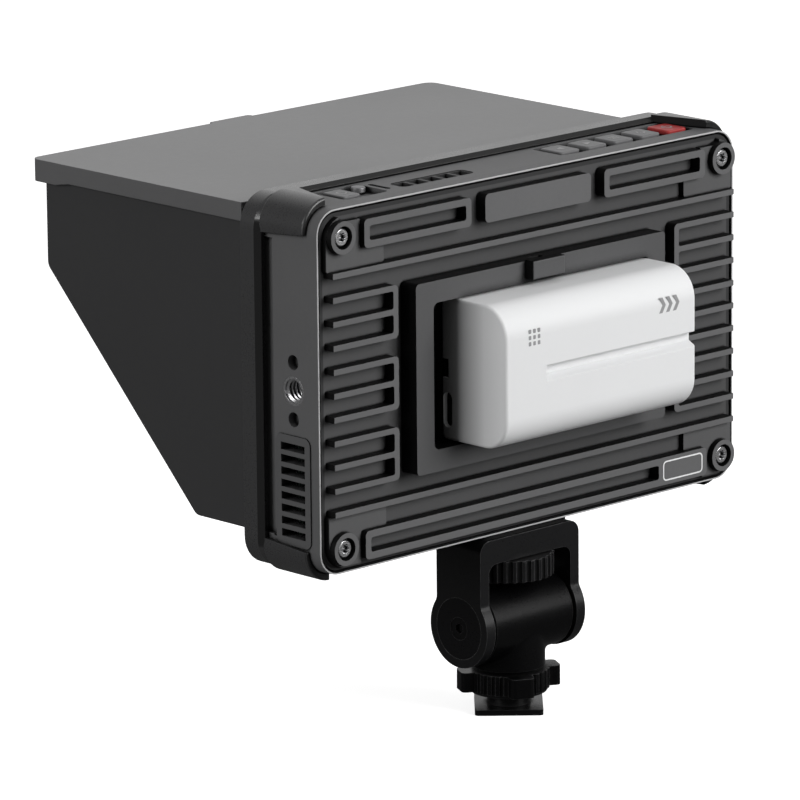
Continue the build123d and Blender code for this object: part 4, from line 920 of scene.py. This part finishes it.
    BORDER = CoatedFinish("black glass border", grey(0.003), 0.3, grain_height_mm=0.0005,
                          edge_wear_highlight_share=0.0, edge_mm=0.05, dust=0.0)
    THERMAL = CoatedFinish("soft thermal pad", (0.35, 0.42, 0.5), 0.8)
    CELLS = CoatedFinish("wrapped cells", (0.05, 0.16, 0.38), 0.35)
    BOARD = CircuitFinish("dark circuit board", (0.003, 0.009, 0.006))
    GLASS = ScreenGlassFinish("clear front glass", (0.1, 0.1, 0.11))


NODES_BY_FINISH: tuple[tuple[Finish, str], ...] = (
    (Finishes.BLACKED_STEEL, "shoe_foot lock_washer pivot_bolt pivot_nut"),
    (Finishes.POST, "lock_wheel tilt_post"),
    (Finishes.NYLON, "friction_washer_left friction_washer_right"),
    (Finishes.BRACKET, "tilt_yoke mounting_screw"),
    (Finishes.CAP, "pivot_cap_left pivot_cap_right"),
    (Finishes.RUBBER, "yoke_pad"),
    (Finishes.FRAME, "mid_frame"),
    (Finishes.COVER, "rear_cover"),
    (Finishes.GLASS, "cover_glass"),
    (Finishes.GASKET, "display_gasket"),
    (Finishes.PANEL, "display_panel"),
    (Finishes.SPREADER, "heat_spreader"),
    (Finishes.BOARD, "main_board key_board_right key_board_left"),
    (Finishes.THERMAL, "thermal_pad"),
    (Finishes.GRILLE, "side_vent_grille"),
    (Finishes.TOP_GRILLE, "top_vent_grille"),
    (Finishes.BRIGHT_STEEL, "side_thread_insert bottom_thread_insert"),
    (Finishes.SCREW_STEEL, "cover_screw_1 cover_screw_2 cover_screw_3 cover_screw_4"),
    (Finishes.PORT_METAL, "dc_jack hdmi_in_port hdmi_out_port usb_port audio_port"),
    (Finishes.KEY, "key_1 key_2 key_3 key_4 function_key"),
    (Finishes.RED_KEY, "power_key"),
    (Finishes.JOG_STEEL, "jog_button"),
    (Finishes.PLATE, "battery_plate battery_latch"),
    (Finishes.GOLD, "battery_contacts"),
    (Finishes.BATTERY, "battery_case"),
    (Finishes.CELLS, "battery_cells"),
    (Finishes.HOOD_FRAME, "hood_frame"),
    (Finishes.HOOD_TOP, "hood_top"),
    (Finishes.HOOD_LEFT, "hood_side_left"),
    (Finishes.HOOD_RIGHT, "hood_side_right"),
    (Finishes.PIN_STEEL, "hinge_pin_side_left hinge_pin_side_right hinge_pin_top_left hinge_pin_top_right"),
)
PACKED_FINISHES = {node: finish for finish, nodes in NODES_BY_FINISH for node in nodes.split()}


@dataclass(frozen=True)
class DrawingPlane:
    """A flat place to draw on: millimetre drawings are laid on it and raised along its normal."""

    origin: Vector
    across: Vector
    up: Vector

    def point(self, x: float, y: float, lift: float) -> Vector:
        """Frame position of a drawn point.

        Args:
            x: Millimetres across.
            y: Millimetres up.
            lift: Millimetres above the plane.

        Returns:
            The position in metres.
        """
        normal = self.across.cross(self.up)
        return self.origin + self.across * mm(x) + self.up * mm(y) + normal * mm(lift)


class PieceMaker:
    """Collects flat prints and small solids in one mesh and turns it into a riding piece."""

    def __init__(self, name: str) -> None:
        """Start an empty mesh.

        Args:
            name: The piece's name.
        """
        self.name = name
        self.mesh = bmesh.new()

    def ring(self, plane: DrawingPlane, loop: list[Flat], lift: float) -> list[bmesh.types.BMVert]:
        """Add the points of an outline at a height over its plane."""
        return [self.mesh.verts.new(plane.point(x, y, lift)) for x, y in loop]

    def wall(self, ring: list[bmesh.types.BMVert], following: list[bmesh.types.BMVert]) -> None:
        """Join two rings with as many points by a closed strip of faces.

        Args:
            ring: The first ring.
            following: The ring that it is joined to.
        """
        for index in range(len(ring)):
            after = (index + 1) % len(ring)
            self.mesh.faces.new((ring[index], ring[after], following[after], following[index]))

    def plate(self, plane: DrawingPlane, loop: list[Flat], bottom: float, top: float) -> None:
        """Add a closed plate.

        Args:
            plane: Where it is drawn.
            loop: Its outline in millimetres, counter-clockwise.
            bottom: Height of its underside over the plane, in millimetres.
            top: Height of its upper face, in millimetres.
        """
        low, high = self.ring(plane, loop, bottom), self.ring(plane, loop, top)
        self.mesh.faces.new(high)
        self.mesh.faces.new(low[::-1])
        self.wall(low, high)

    def frame(self, plane: DrawingPlane, outer: list[Flat], inner: list[Flat], bottom: float,
              top: float) -> None:
        """Add a closed frame between two outlines with the same number of points.

        Args:
            plane: Where it is drawn.
            outer: Outer outline in millimetres, counter-clockwise.
            inner: Inner outline in millimetres, counter-clockwise.
            bottom: Height of its underside over the plane, in millimetres.
            top: Height of its upper face, in millimetres.
        """
        corners = ((outer, bottom), (outer, top), (inner, top), (inner, bottom))
        rings = [self.ring(plane, loop, lift) for loop, lift in corners]
        for ring, following in zip(rings, rings[1:] + rings[:1]):
            self.wall(ring, following)

    def piece(self, material: bpy.types.Material, body: Body) -> bpy.types.Object:
        """Close the mesh, give it its finish and let it ride.

        Args:
            material: The finish's material.
            body: The moving body that carries it.

        Returns:
            The new object.
        """
        bmesh.ops.recalc_face_normals(self.mesh, faces=self.mesh.faces)
        data = bpy.data.meshes.new(self.name)
        self.mesh.to_mesh(data)
        self.mesh.free()
        made = bpy.data.objects.new(self.name, data)
        bpy.context.scene.collection.objects.link(made)
        data.materials.append(material)
        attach(made, body.value)
        LOG.info("piece %s: %d faces, rides on %s", self.name, len(data.polygons), body.value)
        return made


def rectangle(x: float, y: float, width: float, height: float) -> list[Flat]:
    """Corners of a rectangle about its middle, counter-clockwise."""
    left, right, low, high = x - width / 2, x + width / 2, y - height / 2, y + height / 2
    return [(left, low), (right, low), (right, high), (left, high)]


def rounded_loop(x: float, y: float, width: float, height: float, radius: float,
                 steps: int = 6) -> list[Flat]:
    """Points of a rounded rectangle.

    Args:
        x: Centre across.
        y: Centre up.
        width: Full width.
        height: Full height.
        radius: Corner radius.
        steps: Segments in each corner.

    Returns:
        The outline, counter-clockwise.
    """
    points = []
    for corner, (side_x, side_y) in enumerate(((1, 1), (-1, 1), (-1, -1), (1, -1))):
        centre_x = x + side_x * (width / 2 - radius)
        centre_y = y + side_y * (height / 2 - radius)
        for step in range(steps + 1):
            angle = math.pi / 2 * (corner + step / steps)
            points.append((centre_x + radius * math.cos(angle), centre_y + radius * math.sin(angle)))
    return points


def arc_band(radius: float, width: float, start: float, end: float, steps: int = 20) -> list[Flat]:
    """Outline of a part of a ring about the origin.

    Args:
        radius: Middle radius.
        width: Band width.
        start: First angle, in degrees.
        end: Last angle, in degrees.
        steps: Segments along the arc.

    Returns:
        The outline, counter-clockwise.
    """
    angles = [math.radians(start + (end - start) * step / steps) for step in range(steps + 1)]
    outer, inner = ([(reach * math.cos(angle), reach * math.sin(angle)) for angle in angles]
                    for reach in (radius + width / 2, radius - width / 2))
    return outer + inner[::-1]


def middle(node: str) -> Vector:
    """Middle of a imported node's box."""
    low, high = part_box(node)
    return (low + high) / 2


@dataclass
class PackedNodes:
    """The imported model's own nodes, dressed in their finishes."""

    nodes: dict[str, bpy.types.Object]
    wardrobe: Wardrobe

    def dress(self) -> None:
        """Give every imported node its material."""
        for name, node in self.nodes.items():
            material = self.wardrobe.get(PACKED_FINISHES[name])
            node.data.materials.clear()
            node.data.materials.append(material)
            LOG.info("node %s: %s", name, material.name)


@dataclass
class ScreenFace:
    """What shows through the front glass: the unlit screen area and the black border round it."""

    wardrobe: Wardrobe
    border_side_mm: float = 3.6
    border_top_mm: float = 3.2
    corner_mm: float = 0.6
    edge_gap_mm: float = 1.0
    edge_corner_mm: float = 2.5
    lift_mm: float = 0.05
    thick_mm: float = 0.12

    def build(self) -> None:
        """Build the screen area and its border on the front of the screen module."""
        low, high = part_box("display_panel")
        centre = middle("display_panel")
        plane = DrawingPlane(Vector((centre.x, low.y, centre.z)), Vector((1, 0, 0)), Vector((0, 0, 1)))
        width, _, height = (high - low) * MM_PER_METRE
        inner = rounded_loop(0, 0, width - 2 * self.border_side_mm, height - 2 * self.border_top_mm,
                             self.corner_mm)
        outer = rounded_loop(0, 0, width - self.edge_gap_mm, height - self.edge_gap_mm, self.edge_corner_mm)
        top = self.lift_mm + self.thick_mm
        area = PieceMaker("screen_area")
        area.plate(plane, inner, self.lift_mm, top)
        area.piece(self.wardrobe.get(Finishes.ACTIVE), Body.HEAD)
        border = PieceMaker("screen_border")
        border.frame(plane, outer, inner, self.lift_mm, top)
        border.piece(self.wardrobe.get(Finishes.BORDER), Body.HEAD)


@dataclass
class ThreadTurns:
    """Thread turns inside the side insert."""

    wardrobe: Wardrobe
    radius_mm: float = 3.175
    pitch_mm: float = 1.27
    crest_mm: float = 0.62
    crest_half_mm: float = 0.06
    root_half_mm: float = 0.48
    sunk_mm: float = 0.05
    turns: float = 4.4
    mouth_mm: float = 0.35
    steps: int = 40
    fade_steps: int = 12

    def build(self) -> None:
        """Build the helical ridge on the wall of the bore."""
        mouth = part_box("side_thread_insert")[1].x
        centre = middle("side_thread_insert")
        turn = PieceMaker("side_thread_turns")
        root = self.radius_mm + self.sunk_mm
        sections = []
        count = int(self.turns * self.steps)
        for index in range(count + 1):
            angle = 2 * math.pi * index / self.steps
            depth = self.mouth_mm + self.pitch_mm * index / self.steps
            fade = min(1.0, index / self.fade_steps, (count - index) / self.fade_steps)
            crest = self.radius_mm - self.crest_mm * fade
            outline = ((root, -self.root_half_mm), (crest, -self.crest_half_mm),
                       (crest, self.crest_half_mm), (root, self.root_half_mm))
            sections.append([turn.mesh.verts.new((
                mouth - mm(depth + along), centre.y + mm(reach * math.cos(angle)),
                centre.z + mm(reach * math.sin(angle)))) for reach, along in outline])
        for ring, following in zip(sections, sections[1:]):
            turn.wall(ring, following)
        turn.mesh.faces.new(sections[0])
        turn.mesh.faces.new(sections[-1][::-1])
        turn.piece(self.wardrobe.get(Finishes.BRIGHT_STEEL), Body.HEAD)


@dataclass
class VentScreens:
    """Fine dust screens of crossed flat wires behind the vent grilles."""

    wardrobe: Wardrobe
    wire_mm: float = 0.35
    pitch_mm: float = 1.1
    side_margin_mm: float = 3.4
    top_margin_mm: float = 0.6
    lower_layer_mm: Flat = (-0.30, -0.16)
    upper_layer_mm: Flat = (-0.15, -0.01)

    def build(self) -> None:
        """Build the screen behind each grille."""
        low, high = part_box("side_vent_grille")
        centre = middle("side_vent_grille")
        plane = DrawingPlane(Vector((low.x, centre.y, centre.z)), Vector((0, 1, 0)), Vector((0, 0, 1)))
        _, width, height = (high - low) * MM_PER_METRE
        self.screen("side_vent_screen", plane, width - self.side_margin_mm, height - self.side_margin_mm)
        low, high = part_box("top_vent_grille")
        centre = middle("top_vent_grille")
        plane = DrawingPlane(Vector((centre.x, centre.y, low.z)), Vector((1, 0, 0)), Vector((0, 1, 0)))
        width, height, _ = (high - low) * MM_PER_METRE
        self.screen("top_vent_screen", plane, width - self.top_margin_mm, height - self.top_margin_mm)

    def rows(self, length: float) -> list[float]:
        """Middles of the wires that fit side by side in a length."""
        start = (self.wire_mm - length) / 2
        return [start + index * self.pitch_mm for index in range(int(length / self.pitch_mm) + 1)]

    def screen(self, name: str, plane: DrawingPlane, width: float, height: float) -> None:
        """Build one screen.

        Args:
            name: The piece's name.
            plane: The grille's inner face.
            width: Width in millimetres.
            height: Height in millimetres.
        """
        maker = PieceMaker(name)
        for x in self.rows(width):
            maker.plate(plane, rectangle(x, 0, self.wire_mm, height), *self.lower_layer_mm)
        for y in self.rows(height):
            maker.plate(plane, rectangle(0, y, width, self.wire_mm), *self.upper_layer_mm)
        maker.piece(self.wardrobe.get(Finishes.VENT_WIRE), Body.HEAD)


@dataclass
class KeyMarks:
    """Generic marks printed on the keys."""

    wardrobe: Wardrobe
    lift_mm: float = 0.01
    ink_mm: float = 0.03
    line_mm: float = 0.42
    ring_mm: float = 0.4
    bar_mm: Flat = (2.8, 0.44)
    bar_rows_mm: tuple[float, ...] = (-0.95, 0.0, 0.95)
    turn_radius_mm: float = 1.2
    power_radius_mm: float = 1.35
    ring_radius_mm: float = 1.3

    def mark(self, node: str, body: Body, loops: list[list[Flat]]) -> None:
        """Print outlines on a key's top face, read from behind the monitor.

        Args:
            node: The key's node.
            body: The key's body.
            loops: Closed outlines in millimetres about the key's middle.
        """
        centre = middle(node)
        plane = DrawingPlane(Vector((centre.x, centre.y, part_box(node)[1].z)), Vector((-1, 0, 0)),
                             Vector((0, -1, 0)))
        maker = PieceMaker(node + "_mark")
        for loop in loops:
            maker.plate(plane, loop, self.lift_mm, self.lift_mm + self.ink_mm)
        maker.piece(self.wardrobe.get(Finishes.KEY_PRINT), body)

    def build(self) -> None:
        """Print two arrows, three bars, a turning arrow, the power sign and a ring."""
        triangle = [(-1.0, -1.2), (1.3, 0.0), (-1.0, 1.2)]
        arrow_head = [(-1.75, 0.35), (-1.0, -0.55), (-0.45, 0.5)]
        stroke = rectangle(0.0, 1.05, self.line_mm, 1.7)
        self.mark("key_1", Body.KEY_1, [[(-x, y) for x, y in triangle][::-1]])
        self.mark("key_2", Body.KEY_2, [triangle])
        self.mark("key_3", Body.KEY_3, [rectangle(0.0, y, *self.bar_mm) for y in self.bar_rows_mm])
        turn = arc_band(self.turn_radius_mm, self.line_mm, start=-140, end=130)
        self.mark("key_4", Body.KEY_4, [turn, arrow_head])
        power = arc_band(self.power_radius_mm, self.line_mm, start=-235, end=55)
        self.mark("power_key", Body.POWER_KEY, [power, stroke])
        ring = arc_band(self.ring_radius_mm, self.ring_mm, start=0, end=350)
        self.mark("function_key", Body.FUNCTION_KEY, [ring])


@dataclass
class BatteryMarks:
    """Grey marks printed on the battery's outer face."""

    wardrobe: Wardrobe
    dot_mm: float = 0.95
    dot_tall: float = 1.15
    dot_corner_mm: float = 0.2
    dot_pitch_mm: float = 1.65
    dots_x_mm: float = 21.6
    dots_z_mm: float = 10.3
    chevron_x_mm: tuple[float, ...] = (-26.2, -28.8, -31.4)
    chevron_z_mm: float = 11.0
    chevron_half_mm: float = 2.1
    chevron_reach_mm: float = 1.25
    chevron_width_mm: float = 1.3
    ink_mm: float = 0.005
    sunk_mm: float = 0.02

    def chevron(self, right: float) -> list[Flat]:
        """Outline of one chevron.

        Args:
            right: Millimetres across of its right corners, behind the tip.

        Returns:
            The outline, counter-clockwise.
        """
        left, tip = right - self.chevron_width_mm, self.chevron_reach_mm
        z, rise = self.chevron_z_mm, self.chevron_half_mm
        return [(left, z - rise), (right, z - rise), (right + tip, z), (right, z + rise),
                (left, z + rise), (left + tip, z)]

    def build(self) -> None:
        """Print the dot grid and the chevrons."""
        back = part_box("battery_case")[1].y
        plane = DrawingPlane(Vector((0, back, middle("battery_case").z)), Vector((-1, 0, 0)),
                             Vector((0, 0, 1)))
        loops = []
        for column in (-1, 0, 1):
            for row in (-1, 0, 1):
                x = -self.dots_x_mm + column * self.dot_pitch_mm
                z = self.dots_z_mm + row * self.dot_pitch_mm
                loops.append(rounded_loop(x, z, self.dot_mm, self.dot_mm * self.dot_tall,
                                          self.dot_corner_mm, steps=3))
        loops += [self.chevron(-x) for x in self.chevron_x_mm]
        maker = PieceMaker("battery_print")
        for loop in loops:
            maker.plate(plane, loop, -self.sunk_mm, self.ink_mm)
        maker.piece(self.wardrobe.get(Finishes.BATTERY_PRINT), Body.BATTERY)


@dataclass
class BatteryEndShadeSheets:
    """Black sheets of painted shade on the floors of the notch and the slot in the battery's end."""

    wardrobe: Wardrobe
    depth_mm: float = 1.4
    notch_mm: Flat = (2.55, 5.0)
    notch_corner_mm: float = 0.1
    slot_mm: Flat = (3.0, 9.2)
    slot_corner_mm: float = 1.45
    slot_y_mm: float = 2.25
    slot_z_mm: float = -11.1
    lift_mm: float = 0.02
    thick_mm: float = 0.1

    def build(self) -> None:
        """Lay the two sheets of painted shade on their floors."""
        low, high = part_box("battery_case")
        floor = Vector((high.x - mm(self.depth_mm), low.y, middle("battery_case").z))
        plane = DrawingPlane(floor, Vector((0, 1, 0)), Vector((0, 0, 1)))
        maker = PieceMaker("battery_end_shade_sheets")
        notch = rounded_loop(self.notch_mm[0] / 2, 0, *self.notch_mm, self.notch_corner_mm, steps=2)
        slot = rounded_loop(self.slot_y_mm, self.slot_z_mm, *self.slot_mm, self.slot_corner_mm)
        for loop in (notch, slot):
            maker.plate(plane, loop, self.lift_mm, self.lift_mm + self.thick_mm)
        maker.piece(self.wardrobe.get(Finishes.END_RECESS_SHADE), Body.BATTERY)


@dataclass
class BadgeOutline:
    """White rounded outline printed on the closed end of the long pocket."""

    wardrobe: Wardrobe
    x_mm: float = 54.7
    z_mm: float = -41.65
    width_mm: float = 15.4
    height_mm: float = 5.6
    line_mm: float = 0.42
    radius_mm: float = 1.3
    ink_mm: float = 0.03

    def build(self) -> None:
        """Print the outline."""
        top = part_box("rear_cover")[1].y
        plane = DrawingPlane(Vector((0, top, middle("mid_frame").z)), Vector((-1, 0, 0)), Vector((0, 0, 1)))
        outer, inner = (
            rounded_loop(self.x_mm, self.z_mm, self.width_mm - 2 * inset, self.height_mm - 2 * inset,
                         self.radius_mm - inset) for inset in (0.0, self.line_mm))
        maker = PieceMaker("badge_outline")
        maker.frame(plane, outer, inner, 0.0, self.ink_mm)
        maker.piece(self.wardrobe.get(Finishes.BADGE_PRINT), Body.HEAD)


@dataclass
class SoftLight:
    """One square studio lamp, aimed at the middle of the monitor."""

    name: str
    place: tuple[float, float, float]
    side: float
    watts: float
    aim: tuple[float, float, float] = (0.0, 0.0, 0.1)

    def build(self) -> None:
        """Place the lamp and turn it to its aim."""
        data = bpy.data.lights.new(self.name, "AREA")
        data.shape = "SQUARE"
        data.size = self.side
        data.energy = self.watts
        lamp = bpy.data.objects.new(self.name, data)
        bpy.context.scene.collection.objects.link(lamp)
        lamp.location = self.place
        lamp.rotation_mode = "QUATERNION"
        lamp.rotation_quaternion = (Vector(self.aim) - Vector(self.place)).to_track_quat("-Z", "Y")


@dataclass
class Studio:
    """Pale floor, white surround, soft lamps and the camera."""

    lamps: tuple[SoftLight, ...] = (
        SoftLight("back_softbox", place=(-0.55, 1.25, 0.68), side=0.9, watts=22.5),
        SoftLight("top_softbox", place=(0.1, -0.1, 1.3), side=1.0, watts=1.2),
        SoftLight("side_softbox", place=(1.3, -0.2, 0.5), side=0.7, watts=8.6),
    )
    floor_half: float = 6.0
    floor_colour: Colour = (0.86, 0.86, 0.86)
    floor_glow: float = 0.7
    floor_unseen: Colour = (0.14, 0.14, 0.14)
    surround_level: float = 0.14
    backdrop_side: tuple[float, float, float] = (-0.69, -0.69, 0.22)
    lens_mm: float = 313.65
    sensor_mm: float = 36.0
    clip_end: float = 50.0
    camera_turn_deg: float = 43.6427
    camera_rise_deg: float = 13.4996
    camera_roll_deg: float = -0.5291
    camera_place: tuple[float, float, float] = (1.26686, 1.28706, 0.51861)

    def build(self) -> None:
        """Build the studio."""
        self.surround()
        self.floor()
        for lamp in self.lamps:
            lamp.build()
        self.camera()

    def surround(self) -> None:
        """White surround for the camera; for other rays a dim room with a bright backdrop."""
        world = bpy.data.worlds.new("white_surround")
        bpy.context.scene.world = world
        sheet = fresh_sheet(world)
        way = sheet.add("ShaderNodeTexCoord").outputs["Generated"]
        backdrop = sheet.ramp(sheet.dot(way, self.backdrop_side), low=0.5, high=0.9)
        white = sheet.math("MAXIMUM", self.seen(sheet), backdrop)
        level = sheet.math("MULTIPLY_ADD", white, 1.0 - self.surround_level, self.surround_level)
        ground = sheet.add("ShaderNodeBackground", {"Color": WHITE, "Strength": level})
        sheet.add("ShaderNodeOutputWorld", {"Surface": ground.outputs[0]})

    @staticmethod
    def seen(sheet: NodeSheet) -> Socket:
        """Share that is 1 for camera and transmission rays."""
        rays = sheet.add("ShaderNodeLightPath").outputs
        return sheet.math("MAXIMUM", rays["Is Camera Ray"], rays["Is Transmission Ray"])

    def floor(self) -> None:
        """Pale floor that keeps the object's shadow."""
        half = self.floor_half
        data = bpy.data.meshes.new("studio_floor")
        data.from_pydata([(-half, -half, 0), (half, -half, 0), (half, half, 0), (-half, half, 0)], [],
                         [(0, 1, 2, 3)])
        floor = bpy.data.objects.new("studio_floor", data)
        bpy.context.scene.collection.objects.link(floor)
        material = bpy.data.materials.new("pale floor")
        sheet = fresh_sheet(material)
        seen = self.seen(sheet)
        tone = sheet.mix(seen, self.floor_unseen, self.floor_colour)
        diffuse = sheet.add("ShaderNodeBsdfDiffuse", {"Color": tone})
        strength = sheet.product(seen, self.floor_glow)
        glow = sheet.add("ShaderNodeEmission", {"Color": WHITE, "Strength": strength})
        both = sheet.add("ShaderNodeAddShader", {0: diffuse.outputs[0], 1: glow.outputs[0]})
        sheet.add("ShaderNodeOutputMaterial", {"Surface": both.outputs[0]})
        data.materials.append(material)

    def camera(self) -> None:
        """Camera at the photograph's place, with its lens and a slight roll."""
        turn, rise = math.radians(self.camera_turn_deg), math.radians(self.camera_rise_deg)
        roll = math.radians(self.camera_roll_deg)
        back = Vector((math.sin(turn) * math.cos(rise), math.cos(turn) * math.cos(rise), math.sin(rise)))
        right = Vector((0, 0, 1)).cross(back).normalized()
        up = back.cross(right)
        leant_right = right * math.cos(roll) + up * math.sin(roll)
        leant_up = up * math.cos(roll) - right * math.sin(roll)
        data = bpy.data.cameras.new("photo_camera")
        data.lens = self.lens_mm
        data.sensor_width = self.sensor_mm
        data.clip_end = self.clip_end
        camera = bpy.data.objects.new("photo_camera", data)
        bpy.context.scene.collection.objects.link(camera)
        turned = Matrix((leant_right, leant_up, back)).transposed()
        camera.matrix_world = Matrix.Translation(Vector(self.camera_place)) @ turned.to_4x4()
        bpy.context.scene.camera = camera


def main() -> None:
    """Load the frame, dress it, add the pieces and build the studio."""
    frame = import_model()
    bpy.context.scene.view_settings.view_transform = "Standard"
    wardrobe = Wardrobe(EffectLibrary())
    PackedNodes(frame["nodes"], wardrobe).dress()
    for assembly in (ScreenFace, ThreadTurns, VentScreens, KeyMarks, BatteryMarks, BatteryEndShadeSheets,
                     BadgeOutline):
        assembly(wardrobe).build()
    Studio().build()


if __name__ == "__main__":
    logging.basicConfig(level=logging.INFO, format="%(name)s: %(message)s")
    main()
